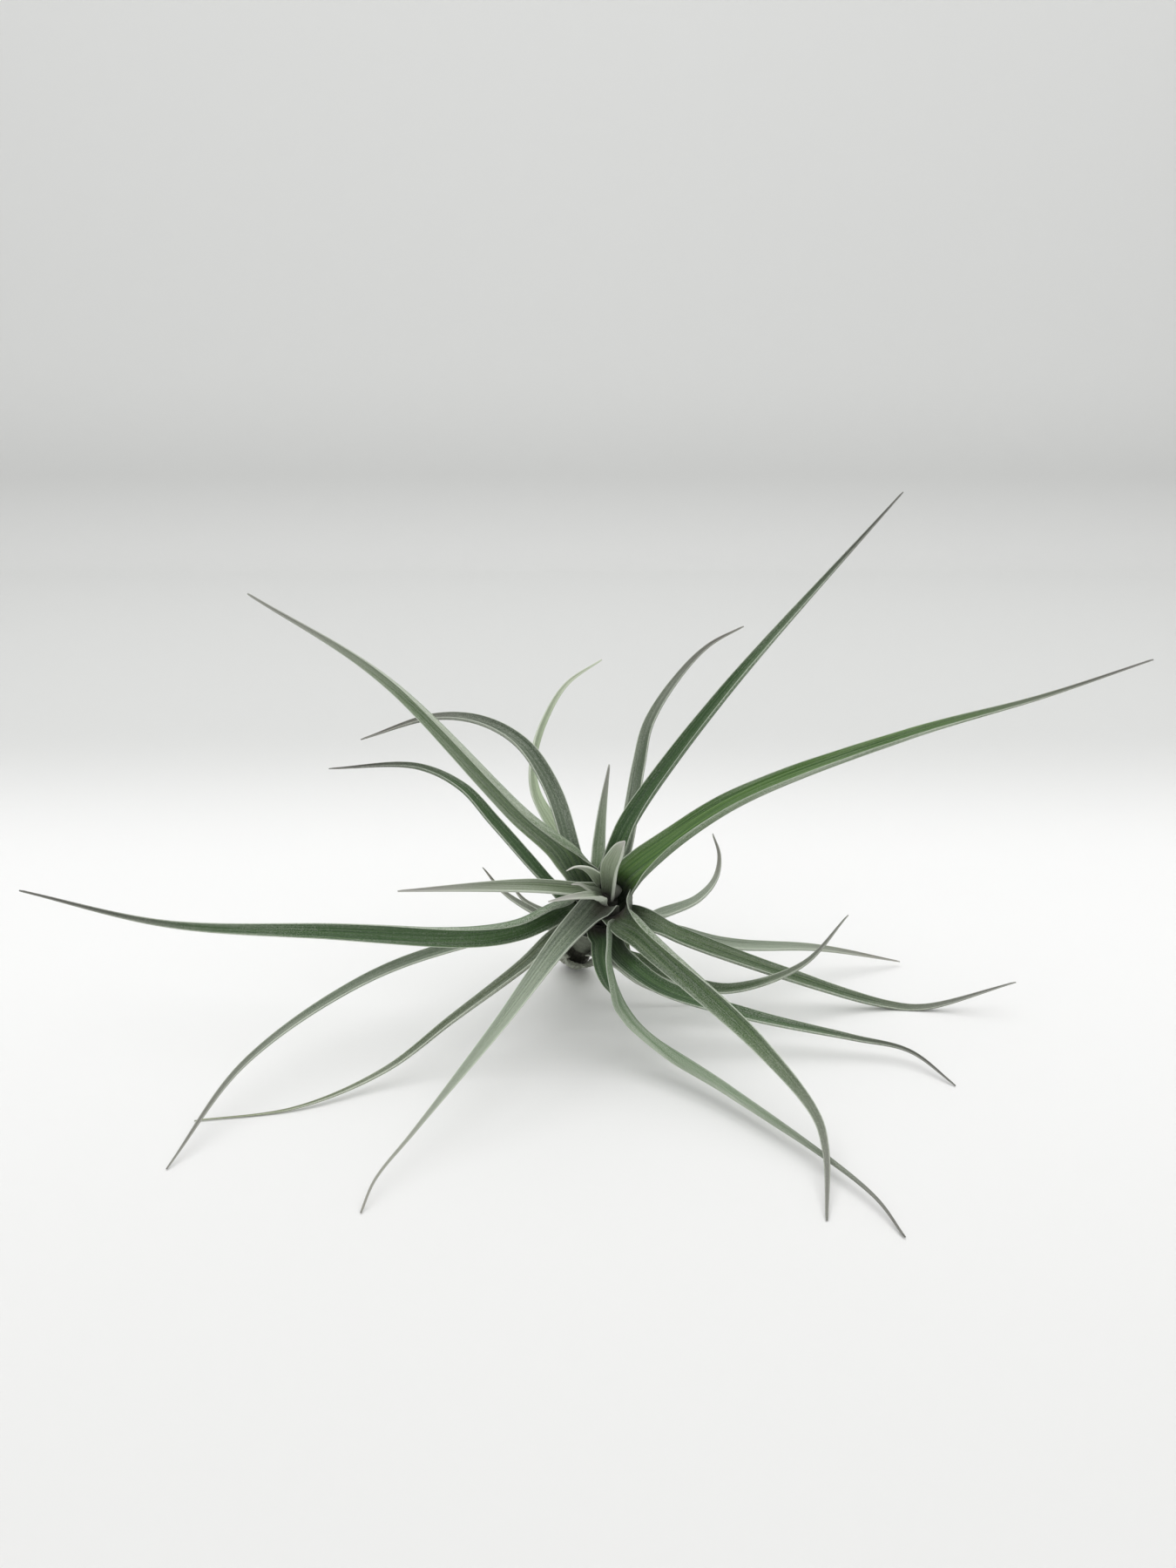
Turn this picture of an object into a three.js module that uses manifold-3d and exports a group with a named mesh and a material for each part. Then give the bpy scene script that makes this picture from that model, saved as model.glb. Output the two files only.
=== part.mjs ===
// Air plant: a rosette of tapering, channelled leaves on a short stem, lying as picked on a table.
// The stem leans forward and up from the spot it rests on, every leaf clasps it with a broad sheath,
// and the lower leaves arch down until their tips touch the table.
// Millimetres. +X right, +Y away from the viewer, +Z up, the table is z = 0 and the origin is
// the flat spot under the stem's foot.

import * as THREE from "three";
import Module from "manifold-3d";

const wasm = await Module();
wasm.setup();
const { Manifold, Mesh: SolidMesh } = wasm;

// ---- driving dimensions -------------------------------------------------------------------
const STEM_FOOT = new THREE.Vector3(-0.5, 1.9, 1.65); // centre of the stem's cut end
const CROWN = new THREE.Vector3(7, -28, 28.6); // centre of the crown, where the youngest leaves rise
const STEM_RADIUS = 2.6;
const STEM_TOP_RADIUS = 2;
const STEM_NARROWS_FROM = 0.8; // share of the stem's length below the narrowing towards its top
const FOOT_FLARE = 0.6; // how much thicker the stem is at its cut end
const FLARE_HEIGHT = 8;
const FOOT_CHAMFER = 0.5;
const FOOT_CHAMFER_HEIGHT = 0.8;
const FIRST_SCAR = 2.9; // height of the lowest leaf scar up the stem
const SCAR_SPACING = 3;
const SCAR_HALF_WIDTH = 0.7;
const SCAR_RELIEF = 0.35; // how far a leaf scar's ring stands out from the stem
const RINGS_BELOW_TOP = [5, 3, 1.5, 0]; // plain sections of the stem, measured down from its top
const STEM_SIDES = 18;

const MARGIN_THICKNESS = 0.6;
const KEEL_THICKNESS = 0.9;
const TIP_KEEL_THICKNESS = 0.65;
const KEEL_THINS_FROM = 0.7; // share of the leaf's length
const SHEATH_SWELL = 1.1; // the sheath's width over the blade's
const SHEATH_SLOPE = 20; // degrees from the stem at which a sheath leaves it
const YOUNG_SHEATH_SLOPE = 8; // the same for a young leaf, which stands closer to the stem
const SHEATH_RISE = 5; // length of the sheath that follows that slope
const SHEATH_RISE_SHARE = 0.45; // the most of the way to the sheath's mouth that it may take
const SHEATH_SEAT = 0.75; // from the stem's skin to the middle of the sheath's thickness at its foot
const SHEATH_FACES_STEM = 10; // length of the sheath that opens straight towards the stem
const MOST_HUGGING = 170; // degrees of the stem that one sheath may clasp
const CHANNEL_STARTS = 6; // the sheath's curl round the stem gives way to the blade's channel
const CHANNEL_FORMED = 16; // between these distances from the leaf's foot
const LEAST_FOLD = 14; // degrees, so that a blade is never quite flat
const MARGIN_CURL = 1.25; // how much tighter the channel is near the tip
const TIGHTEST_CURL = 0.75; // the channel's smallest radius over the keel's thickness
const ROLL_STARTS = 0.4; // share of the half width at which a rolled margin begins to bend in
const ROLL_FADES = 0.35; // share of the leaf's length over which the roll opens again
const ROLL_CROWDING = 0.12; // how far the section's points are drawn towards a rolled margin
const TIP_WIDTH = 0.7;
const CLEARANCE = 0.3; // air between a leaf and what it lies against

const POINTS_ACROSS = 7;
const RING_SPACING = 5.5;
const FEWEST_RINGS = 9;

const STEM_AXIS = CROWN.clone().sub(STEM_FOOT).normalize();
const STEM_LENGTH = CROWN.distanceTo(STEM_FOOT);
const ACROSS_STEM = new THREE.Vector3().crossVectors(new THREE.Vector3(0, 0, 1), STEM_AXIS).normalize();
if (ACROSS_STEM.x < 0) ACROSS_STEM.negate();
const ABOVE_STEM = new THREE.Vector3().crossVectors(ACROSS_STEM, STEM_AXIS).normalize();
if (ABOVE_STEM.z < 0) ABOVE_STEM.negate();

// ---- the leaves, youngest first -------------------------------------------------------------
// foot    distance up the stem at which the leaf is fixed
// around  where round the stem, in degrees: 0 is right, 90 is up, 180 is left, 270 is under
// width   of the blade laid flat, where it leaves the sheath
// fold    angle the blade's channel turns through from margin to margin
// full    how much of its width the blade keeps towards its tip: about 0 is slim, 1 and over is full
// roll    degrees that one margin rolls in beyond the channel, the left one if it is negative
// unroll  share of the length at which that margin is open again
// spindle a young leaf, still narrow at its foot and broadest a third of the way up
// torn    a short papery rest of a sheath instead of a tapering leaf
// path    points along the blade's middle line, from the sheath's mouth to the tip
// open    the way the channel opens: [fraction of the length, x, y, z]
const LEAVES = [
  { name: "leaf_crown_small_hooked", colour: "young", foot: 38.8, around: 125, width: 3, fold: 100,
    spindle: true,
    path: [[5, -33, 35.5], [2.5, -37.5, 39.5], [0, -40.5, 41], [-1.5, -42.5, 41]],
    open: [[0.6, 0.2, -0.7, -0.6], [1, 0, -0.5, -0.8]] },
  { name: "leaf_crown_small_bud", colour: "young", foot: 38.6, around: 185, width: 2.2, fold: 100,
    spindle: true,
    path: [[5.5, -32, 31.5], [3, -36, 34.5], [1, -39.5, 37], [-0.5, -42, 38]],
    open: [[0.7, 0.2, -0.5, 0.8]] },
  { name: "leaf_crown_young_upright", colour: "young", foot: 37.6, around: 50, width: 4.9, fold: 110,
    spindle: true, roll: 60, unroll: 1.2,
    path: [[7.3, -31.8, 31.3], [7, -35.5, 36], [7.2, -40.5, 41], [8, -48, 46.3], [8.6, -58.5, 52.3],
      [9, -70, 57.5]],
    open: [[0.15, -0.7, -0.6, -0.3], [0.4, -0.45, -0.6, -0.5], [1, -0.5, -0.5, -0.7]] },
  { name: "leaf_crown_young_arched", colour: "young", foot: 37.8, around: 245, width: 3.9, fold: 110,
    spindle: true,
    path: [[5.3, -34.2, 31.2], [4.6, -42.3, 35.5], [3.2, -49.5, 38.8], [-0.6, -55.2, 40.8],
      [-4.5, -60, 42]],
    open: [[0.4, 0.2, -0.4, 0.9], [1, 0.2, -0.3, 0.9]] },
  { name: "leaf_left_young", colour: "young", foot: 36.6, around: 175, width: 4.4, fold: 120,
    spindle: true,
    path: [[4.6, -32.6, 32.6], [0.6, -36.2, 34.4], [-8, -48, 40], [-16, -55.5, 43], [-31, -67, 47]],
    open: [[0.3, 0.2, -0.6, 0.8], [1, 0.3, -0.4, 0.9]] },
  { name: "leaf_lower_left_broad", colour: "silver", foot: 35.8, around: 234, width: 7.6, fold: 100,
    full: -0.3, roll: -50, unroll: 0.6,
    path: [[5.6, -33.4, 30.6], [0.8, -38.2, 27.7], [-3, -43, 25.2], [-14.5, -62, 17], [-28.2, -80.5, 6.6],
      [-33.8, -90, 3.2], [-35.5, -95, 0.3]],
    open: [[0.25, 0, -0.75, 0.65], [1, 0.2, -0.3, 0.9]] },
  { name: "leaf_lower_right_broad", colour: "green", foot: 35.2, around: 336, width: 8.6, fold: 105,
    full: 0.15, roll: -75, unroll: 0.6,
    path: [[8.6, -34.4, 28], [11.8, -39.3, 27.6], [15.5, -44.5, 26], [34.5, -66.5, 16],
      [43.5, -77.5, 8],
      [44.5, -83, 4.5], [42.5, -97, 0.3]],
    open: [[0.25, -0.55, -0.8, 0.1], [0.6, -0.45, -0.65, 0.5], [1, 0, 0.1, 1]] },
  { name: "leaf_right_bright_long", colour: "bright", foot: 34, around: 38, width: 8, fold: 115,
    roll: 75, unroll: 0.9,
    path: [[11, -29, 34], [15, -28.8, 38], [32.5, -26, 49.8], [69, -19.5, 62.2], [99, -14, 69.3],
      [123, -9, 76]],
    open: [[0.2, -0.6, -0.5, 0.6], [0.6, -0.2, -0.65, 0.75], [1, 0, -0.6, 0.8]] },
  { name: "leaf_upper_left_broad", colour: "green", foot: 32, around: 134, width: 8.6, fold: 115,
    full: 0.1, roll: 95, unroll: 0.8,
    path: [[-1, -28.5, 38.5], [-11, -27.8, 47.5], [-39.3, -17.5, 73.5], [-69.5, -5.7, 89.5]],
    open: [[0.25, -0.35, -0.85, -0.3], [0.7, -0.1, -0.9, 0], [1, 0, -0.9, 0.3]] },
  { name: "leaf_upper_right_long", colour: "dark", foot: 28.5, around: 76, width: 6, fold: 140,
    full: 0.5, roll: 40, unroll: 0.8,
    path: [[9.3, -24, 40], [12, -22.8, 45.5], [30.3, -16.5, 69.5], [69.5, 1, 110]],
    open: [[0.3, -0.55, -0.7, 0.3], [1, -0.5, -0.6, 0.5]] },
  { name: "leaf_left_long", colour: "dark", foot: 27.5, around: 184, width: 7.6, fold: 125,
    full: 0.1, roll: 85, unroll: 0.5,
    path: [[0.5, -26.7, 27.8], [-5, -30.5, 26.8], [-11.5, -35.5, 25.7], [-21, -38.8, 25.5],
      [-49.5, -39, 26.5],
      [-85, -33, 25.5], [-117.5, -26, 30]],
    open: [[0.2, -0.1, -0.95, -0.2], [0.4, 0, -0.9, 0.3], [1, 0.1, -0.7, 0.6]] },
  { name: "leaf_lower_middle_table", colour: "dark", foot: 31.5, around: 256, width: 8, fold: 140,
    full: 0.1,
    path: [[5.9, -37.5, 25], [5.9, -41.5, 21], [7.4, -44, 16.5], [9.8, -44.5, 11.5],
      [13.8, -47, 7.5], [29.6, -62, 3.7],
      [51, -92, 1.8], [54.5, -101.5, 0.3]],
    open: [[0.17, -0.8, -0.5, 0.2], [0.3, -0.9, 0.1, 0.05], [0.45, -0.7, 0.5, -0.5],
      [1, -0.3, 0.5, -0.8]] },
  { name: "leaf_right_low_long", colour: "green", foot: 27.5, around: 337, width: 6, fold: 125,
    full: 0.9,
    path: [[14.5, -29, 24.5], [22.5, -30, 21], [45.5, -24, 9.5], [69, -21.7, 0.9], [77, -22.5, 0.7],
      [96, -24, 7.6]],
    open: [[0.3, -0.2, -0.45, 0.9], [1, -0.4, -0.2, 0.9]] },
  { name: "leaf_upper_left_arched", colour: "silver", foot: 25.5, around: 114, width: 5.4, fold: 140,
    full: 1.6,
    path: [[-0.5, -22, 36], [-5.3, -12, 48], [-12, -6, 56.5], [-21, -3.5, 61], [-31, -4, 62],
      [-46.5, -9.7, 58.5]],
    open: [[0.3, 0.4, -0.7, 0.6], [0.6, 0.1, -0.35, 0.9], [1, -0.3, -0.3, 0.9]] },
  { name: "leaf_lower_left_table", colour: "olive", foot: 25, around: 210, width: 4.6, fold: 125,
    roll: -55, unroll: 0.7,
    path: [[-4, -35, 23.5], [-10.5, -41.5, 20], [-24.5, -47, 11], [-37.2, -54, 3.6], [-53, -63, 0.7],
      [-71.5, -67, 0.3]],
    open: [[0.3, 0.1, -0.4, 0.9], [1, 0, 0, 1]] },
  { name: "leaf_right_low_pale", colour: "silver", foot: 22.5, around: 345, width: 4.6, fold: 125,
    full: 1.3,
    path: [[16.5, -23, 20.5], [33.5, -16, 13], [56, -6.5, 7.5], [76.5, -0.5, 1.2]],
    open: [[0.3, -0.2, -0.45, 0.9], [1, -0.1, -0.3, 0.95]] },
  { name: "leaf_left_narrow_high", colour: "dark", foot: 21.5, around: 142, width: 4, fold: 135,
    full: 1.6,
    path: [[-5.5, -18, 28], [-17.5, -12, 40], [-25, -9, 47.5], [-34.5, -8.5, 52], [-53, -13.5, 53.1]],
    open: [[0.3, 0.3, -0.5, 0.8], [0.6, 0.1, -0.3, 1], [1, 0, -0.3, 1]] },
  { name: "leaf_lower_right_table", colour: "dark", foot: 24, around: 282, width: 5.7, fold: 120,
    full: 0.6,
    path: [[11, -37.5, 18.5], [18, -40.5, 14.5], [36, -41.3, 8.7], [57, -43, 4.5], [68, -45.7, 3],
      [75.3, -54.5, 0.3]],
    open: [[0.25, -0.1, -0.5, 0.85], [1, 0, -0.1, 1]] },
  { name: "leaf_top_right_curved", colour: "silver", foot: 23, around: 68, width: 5.2, fold: 130,
    full: 1,
    path: [[10.5, -17.5, 36], [14, -6.5, 51.5], [16.3, -1.5, 60], [22.8, 2.5, 69.5], [29.4, 3.2, 76.4],
      [37, 3, 80.8]],
    open: [[0.3, -0.5, -0.85, 0.2], [0.8, -0.5, -0.7, 0.5], [1, -0.4, -0.6, 0.7]] },
  { name: "leaf_lower_left_back", colour: "silver", foot: 19, around: 186, width: 3.7, fold: 130,
    full: 1.1,
    path: [[-4, -21.5, 20.5], [-22, -27.5, 19], [-42.5, -41.5, 17], [-62.6, -61, 9.3], [-72, -82.5, 0.3]],
    open: [[0.3, 0.1, -0.5, 0.9], [1, 0.1, -0.1, 1]] },
  { name: "leaf_right_low_curled", colour: "green", foot: 19, around: 303, width: 4.8, fold: 130,
    full: 0.9,
    path: [[10.5, -24.5, 15.5], [16, -24, 11.5], [24.5, -25, 8], [33.5, -27, 7.5], [48.5, -28.5, 14],
      [57.9, -26.5, 24.6]],
    open: [[0.3, -0.1, -0.4, 0.9], [1, -0.7, -0.3, 0.6]] },
  { name: "leaf_top_short", colour: "green", foot: 18.5, around: 92, width: 4.6, fold: 115,
    full: 1.2,
    path: [[4.6, -15, 30.2], [5, -10.5, 34.4], [6, -5.5, 42], [7.5, -0.5, 50]],
    open: [[0.5, 0.3, -0.9, 0.3]] },
  { name: "leaf_top_pale_twisted", colour: "pale", foot: 14.5, around: 108, width: 5.4, fold: 120,
    full: 0.5,
    path: [[-1, -12.5, 32], [-9.3, -0.5, 43.5], [-9.7, 6, 50.5], [-7.2, 12, 57.4], [-2.4, 18, 64],
      [6, 24.5, 68.5]],
    open: [[0.3, 0.3, -0.9, 0.2], [0.6, 0.8, -0.6, 0], [1, -0.3, -0.8, 0.5]] },
  { name: "leaf_back_right_curled", colour: "silver", foot: 14.5, around: 8, width: 4.8, fold: 125,
    full: 1.1,
    path: [[14, -13, 17], [20, -7, 16.5], [28.5, 1.5, 16.5], [33.3, 8.5, 19], [34.4, 13, 23],
      [33, 17, 27]],
    open: [[0.4, -0.2, -0.4, 0.9], [1, -0.8, -0.5, 0.3]] },
  { name: "leaf_underneath_old", colour: "old", foot: 11.5, around: 292, width: 3.4, fold: 110,
    path: [[8.5, -18, 9], [14, -19, 5], [20, -20, 2.6], [27, -20, 0.3]],
    open: [[0.5, 0, -0.2, 1]] },
  { name: "leaf_back_left_old", colour: "old", foot: 13, around: 165, width: 3.4, fold: 110,
    full: 0.9,
    path: [[-5, -14.5, 17.5], [-16, -10.5, 23], [-21, -7.7, 28]],
    open: [[0.6, 0.4, -0.3, 0.85]] },
  { name: "leaf_back_left_small_old", colour: "old", foot: 8.5, around: 152, width: 3.2, fold: 110,
    full: 0.9,
    path: [[-4, -9.5, 16], [-12, -5.8, 19.3], [-15.5, -3, 23]],
    open: [[0.6, 0.4, -0.3, 0.85]] },
  { name: "dry_sheath_left", colour: "old", foot: 2.2, around: 190, width: 4.6, fold: 120, torn: true,
    path: [[-2.9, -8, 7.4], [-3.3, -9.8, 7.9]],
    open: [[1, 0.8, 0.2, 0.6]] },
  { name: "dry_sheath_under", colour: "old", foot: 3, around: 240, width: 4.6, fold: 120, torn: true,
    path: [[-0.4, -8.5, 4.6], [-0.8, -10.5, 5.2]],
    open: [[1, 0.3, 0, 1]] },
  { name: "dry_sheath_right", colour: "old", foot: 3.6, around: 295, width: 4.6, fold: 120, torn: true,
    path: [[3.4, -8, 4.3], [4, -10, 4.8]],
    open: [[1, -0.3, 0, 1]] },
];

const COLOURS = {
  green: 0x5c7a4c,
  bright: 0x4f7f3a,
  dark: 0x46604a,
  silver: 0x8d9d8a,
  pale: 0xa6bd90,
  olive: 0x6f7f52,
  young: 0x99a394,
  old: 0x8b8b80,
  stem: 0x6b6256,
};

// ---- shared helpers ---------------------------------------------------------------------------
const radians = THREE.MathUtils.degToRad;
const vector = (triple) => new THREE.Vector3(...triple);

// From the nearest point of the stem's middle line to the point.
function outFromStem(point) {
  const fromFoot = point.clone().sub(STEM_FOOT);
  return fromFoot.addScaledVector(STEM_AXIS, -fromFoot.dot(STEM_AXIS));
}

function directionAround(degrees) {
  const turn = radians(degrees);
  return ACROSS_STEM.clone().multiplyScalar(Math.cos(turn)).addScaledVector(ABOVE_STEM, Math.sin(turn));
}

function stemRadiusAt(height) {
  const narrowing = THREE.MathUtils.smoothstep(height, STEM_NARROWS_FROM * STEM_LENGTH, STEM_LENGTH);
  const foot = 1 - THREE.MathUtils.smoothstep(height, 0, FLARE_HEIGHT);
  return THREE.MathUtils.lerp(STEM_RADIUS, STEM_TOP_RADIUS, narrowing) + FOOT_FLARE * foot;
}

function solidFrom(points, triangles) {
  const vertProperties = new Float32Array(points.flatMap((p) => [p.x, p.y, p.z]));
  const build = (corners) =>
    new Manifold(new SolidMesh({ numProp: 3, vertProperties, triVerts: new Uint32Array(corners) }));
  const solid = build(triangles);
  if (solid.volume() > 0) return solid;
  const turned = [];
  for (let i = 0; i < triangles.length; i += 3) {
    turned.push(triangles[i], triangles[i + 2], triangles[i + 1]);
  }
  return build(turned);
}

function largestBody(solid) {
  const bodies = solid.decompose();
  return bodies.reduce((best, body) => (body.volume() > best.volume() ? body : best));
}

function meshFrom(name, solid, colour) {
  const { numProp, vertProperties, triVerts } = solid.getMesh();
  const corners = new Float32Array(triVerts.length * 3);
  triVerts.forEach((vertex, i) => {
    for (let axis = 0; axis < 3; axis += 1) corners[3 * i + axis] = vertProperties[vertex * numProp + axis];
  });
  const geometry = new THREE.BufferGeometry();
  geometry.setAttribute("position", new THREE.BufferAttribute(corners, 3));
  geometry.computeVertexNormals();
  const material = new THREE.MeshStandardMaterial({ color: COLOURS[colour], roughness: 0.8, metalness: 0 });
  const mesh = new THREE.Mesh(geometry, material);
  mesh.name = name;
  return mesh;
}

// ---- the stem: a short rod with a ring at every leaf scar and a narrowing top ----------------
// Its outline from the cut end to the top: [height, radius].
function stemOutline() {
  const plain = (height) => [height, stemRadiusAt(height)];
  const outline = [[0, stemRadiusAt(0) - FOOT_CHAMFER], plain(FOOT_CHAMFER_HEIGHT)];
  for (let scar = FIRST_SCAR; scar < STEM_LENGTH - RINGS_BELOW_TOP[0]; scar += SCAR_SPACING) {
    outline.push(plain(scar - SCAR_HALF_WIDTH));
    outline.push([scar, stemRadiusAt(scar) + SCAR_RELIEF]);
    outline.push(plain(scar + SCAR_HALF_WIDTH));
  }
  RINGS_BELOW_TOP.forEach((below) => outline.push(plain(STEM_LENGTH - below)));
  return outline;
}

function stemSolid(spare = 0) {
  const points = [];
  const triangles = [];
  const outline = stemOutline();
  for (const [height, radius] of outline) {
    for (let side = 0; side < STEM_SIDES; side += 1) {
      const out = directionAround((side * 360) / STEM_SIDES).multiplyScalar(radius + spare);
      points.push(STEM_FOOT.clone().addScaledVector(STEM_AXIS, height).add(out));
    }
  }
  for (let ring = 0; ring + 1 < outline.length; ring += 1) {
    for (let side = 0; side < STEM_SIDES; side += 1) {
      const next = (side + 1) % STEM_SIDES;
      const [a, b] = [ring * STEM_SIDES + side, ring * STEM_SIDES + next];
      triangles.push(a, b, b + STEM_SIDES, a, b + STEM_SIDES, a + STEM_SIDES);
    }
  }
  const last = (outline.length - 1) * STEM_SIDES;
  for (let side = 1; side + 1 < STEM_SIDES; side += 1) {
    triangles.push(0, side + 1, side, last, last + side, last + side + 1);
  }
  return solidFrom(points, triangles);
}

// ---- a leaf: a thin channelled section carried along a curved middle line ----------------------
// Share of the blade's width left at each fraction of the leaf's length.
const SLIM_TAPER = [[0, 0.72], [0.05, SHEATH_SWELL], [0.1, 1.06], [0.2, 0.9], [0.33, 0.7], [0.5, 0.5],
  [0.66, 0.32], [0.75, 0.21], [0.85, 0.13], [0.94, 0.08], [1, 0.05]];
const FULL_TAPER = [[0, 0.72], [0.05, SHEATH_SWELL], [0.1, 1.03], [0.2, 0.95], [0.33, 0.9], [0.5, 0.78],
  [0.66, 0.57], [0.75, 0.45], [0.85, 0.31], [0.94, 0.17], [1, 0.06]];
const SPINDLE_TAPER = [[0, 0.5], [0.06, 0.52], [0.15, 0.66], [0.3, 1], [0.45, 0.95], [0.6, 0.78],
  [0.75, 0.54], [0.88, 0.3], [0.95, 0.17], [1, 0.08]];
const TORN_TAPER = [[0, 0.8], [0.5, 1.1], [1, 0.75]];

function between(table, at) {
  const upper = Math.max(1, table.findIndex(([fraction]) => fraction >= at));
  const [from, low] = table[upper - 1];
  const [to, high] = table[upper];
  return THREE.MathUtils.lerp(low, high, (at - from) / (to - from));
}

function taperAt(leaf, fraction) {
  if (leaf.torn) return between(TORN_TAPER, fraction);
  if (leaf.spindle) return between(SPINDLE_TAPER, fraction);
  return THREE.MathUtils.lerp(between(SLIM_TAPER, fraction), between(FULL_TAPER, fraction), leaf.full ?? 0);
}

function leafCurve(leaf) {
  const out = directionAround(leaf.around);
  const seat = stemRadiusAt(leaf.foot) + SHEATH_SEAT;
  const foot = STEM_FOOT.clone().addScaledVector(STEM_AXIS, leaf.foot).addScaledVector(out, seat);
  const slope = radians(leaf.spindle ? YOUNG_SHEATH_SLOPE : SHEATH_SLOPE);
  const rise = STEM_AXIS.clone().multiplyScalar(Math.cos(slope)).addScaledVector(out, Math.sin(slope));
  const mouth = vector(leaf.path[0]);
  const reach = Math.min(SHEATH_RISE, SHEATH_RISE_SHARE * mouth.distanceTo(foot));
  const sheath = foot.clone().addScaledVector(rise, reach);
  return new THREE.CatmullRomCurve3([foot, sheath, ...leaf.path.map(vector)], false, "centripetal");
}

// The way the channel opens: towards the stem in the sheath, then as the leaf's own list says.
function openingAt(leaf, fraction, point, length) {
  const sheathEnd = Math.min(leaf.open[0][0] / 2, SHEATH_FACES_STEM / length);
  const inward = outFromStem(point).normalize().negate();
  const stations = leaf.open.map(([at, ...way]) => [at, vector(way).normalize()]);
  if (fraction <= sheathEnd) return inward;
  const [firstAt, firstWay] = stations[0];
  if (fraction <= firstAt) {
    const blend = THREE.MathUtils.smoothstep(fraction, sheathEnd, firstAt);
    return inward.lerp(firstWay, blend);
  }
  for (let i = 1; i < stations.length; i += 1) {
    const [from, before] = stations[i - 1];
    const [to, after] = stations[i];
    if (fraction <= to) return before.clone().lerp(after, (fraction - from) / (to - from));
  }
  return stations[stations.length - 1][1].clone();
}

// A point of the section's middle line, for a half width of 1: a plain arc, which bends in more
// tightly from ROLL_STARTS to the rolled margin. Share runs from -1 at one margin to 1 at the other.
function acrossSection(share, plainBend, rolledBend, rolledSide) {
  const reach = share * rolledSide;
  const plain = plainBend * Math.min(reach, ROLL_STARTS);
  const start = plainBend * ROLL_STARTS;
  const end = start + rolledBend * Math.max(reach - ROLL_STARTS, 0);
  const across = Math.sin(plain) / plainBend + (Math.sin(end) - Math.sin(start)) / rolledBend;
  const inward = (1 - Math.cos(plain)) / plainBend + (Math.cos(start) - Math.cos(end)) / rolledBend;
  const angle = reach > ROLL_STARTS ? end : plain;
  return { across: across * rolledSide, inward, angle: angle * rolledSide };
}

// Points of one section: the outer face from margin to margin, then the inner face.
function leafSection(leaf, curve, fraction, spare) {
  const length = curve.getLength();
  const centre = curve.getPointAt(fraction);
  const forward = curve.getTangentAt(fraction);
  const opening = openingAt(leaf, fraction, centre, length);
  opening.addScaledVector(forward, -opening.dot(forward)).normalize();
  const sideways = new THREE.Vector3().crossVectors(forward, opening).normalize();

  const width = Math.max(TIP_WIDTH, leaf.width * taperAt(leaf, fraction));
  const thinning = THREE.MathUtils.smoothstep(fraction, KEEL_THINS_FROM, 1);
  const keel = THREE.MathUtils.lerp(KEEL_THICKNESS, TIP_KEEL_THICKNESS, thinning);

  const formed = THREE.MathUtils.smoothstep(fraction * length, CHANNEL_STARTS, CHANNEL_FORMED);
  const round = (width * Math.abs(forward.dot(STEM_AXIS))) / outFromStem(centre).length();
  const hugging = Math.min(round, radians(MOST_HUGGING));
  const channel = radians(leaf.fold) * THREE.MathUtils.lerp(1, MARGIN_CURL, fraction);
  const wanted = THREE.MathUtils.lerp(hugging, channel, formed);
  const half = width / 2;
  const tightest = half / (TIGHTEST_CURL * keel);
  const bend = Math.max(radians(LEAST_FOLD) / 2, Math.min(wanted / 2, tightest));
  const { roll = 0, unroll = 1 } = leaf;
  const rolledSide = roll < 0 ? -1 : 1;
  const unrolled = THREE.MathUtils.smoothstep(fraction, unroll - ROLL_FADES, unroll);
  const extra = (radians(Math.abs(roll)) * formed * (1 - unrolled)) / (1 - ROLL_STARTS);
  const rolledBend = Math.min(bend + extra, Math.max(bend, tightest));
  const at = (share) => acrossSection(share, bend, rolledBend, rolledSide);
  const depth = (half * (at(1).inward + at(-1).inward)) / 2;
  centre.addScaledVector(opening, (-depth / 2) * formed); // the path is the middle of the channel's depth

  const outer = [];
  const inner = [];
  for (let i = 0; i < POINTS_ACROSS; i += 1) {
    const even = (2 * i) / (POINTS_ACROSS - 1) - 1;
    const share = even + (roll ? ROLL_CROWDING * rolledSide * (1 - even * even) : 0);
    const { across, inward, angle } = at(share * (1 + spare / half));
    const thickness = THREE.MathUtils.lerp(keel, MARGIN_THICKNESS, share * share);
    const place = (offset) =>
      centre.clone()
        .addScaledVector(opening, half * inward - offset * Math.cos(angle))
        .addScaledVector(sideways, half * across + offset * Math.sin(angle));
    outer.push(place(thickness / 2 + spare));
    inner.push(place(-thickness / 2 - spare));
  }
  return [...outer, ...inner];
}

function leafSolid(leaf, spare = 0) {
  const curve = leafCurve(leaf);
  const rings = Math.max(FEWEST_RINGS, Math.round(curve.getLength() / RING_SPACING) + 1);
  const points = [];
  for (let ring = 0; ring < rings; ring += 1) {
    points.push(...leafSection(leaf, curve, ring / (rings - 1), spare));
  }
  const sectionSize = 2 * POINTS_ACROSS;
  const margin = POINTS_ACROSS - 1;
  const last = (rings - 1) * sectionSize;
  const triangles = [];
  const quad = (a, b, c, d) => triangles.push(a, b, c, a, c, d);
  for (let here = 0; here < last; here += sectionSize) {
    const next = here + sectionSize;
    for (let i = 0; i < margin; i += 1) {
      const j = POINTS_ACROSS + i;
      quad(here + i, here + i + 1, next + i + 1, next + i);
      quad(next + j + 1, here + j + 1, here + j, next + j);
    }
    quad(here + POINTS_ACROSS, here, next, next + POINTS_ACROSS);
    quad(here + margin, here + POINTS_ACROSS + margin, next + POINTS_ACROSS + margin, next + margin);
  }
  for (let i = 0; i < margin; i += 1) {
    const j = POINTS_ACROSS + i;
    quad(i, j, j + 1, i + 1);
    quad(last + i, last + i + 1, last + j + 1, last + j);
  }
  return solidFrom(points, triangles);
}

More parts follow.
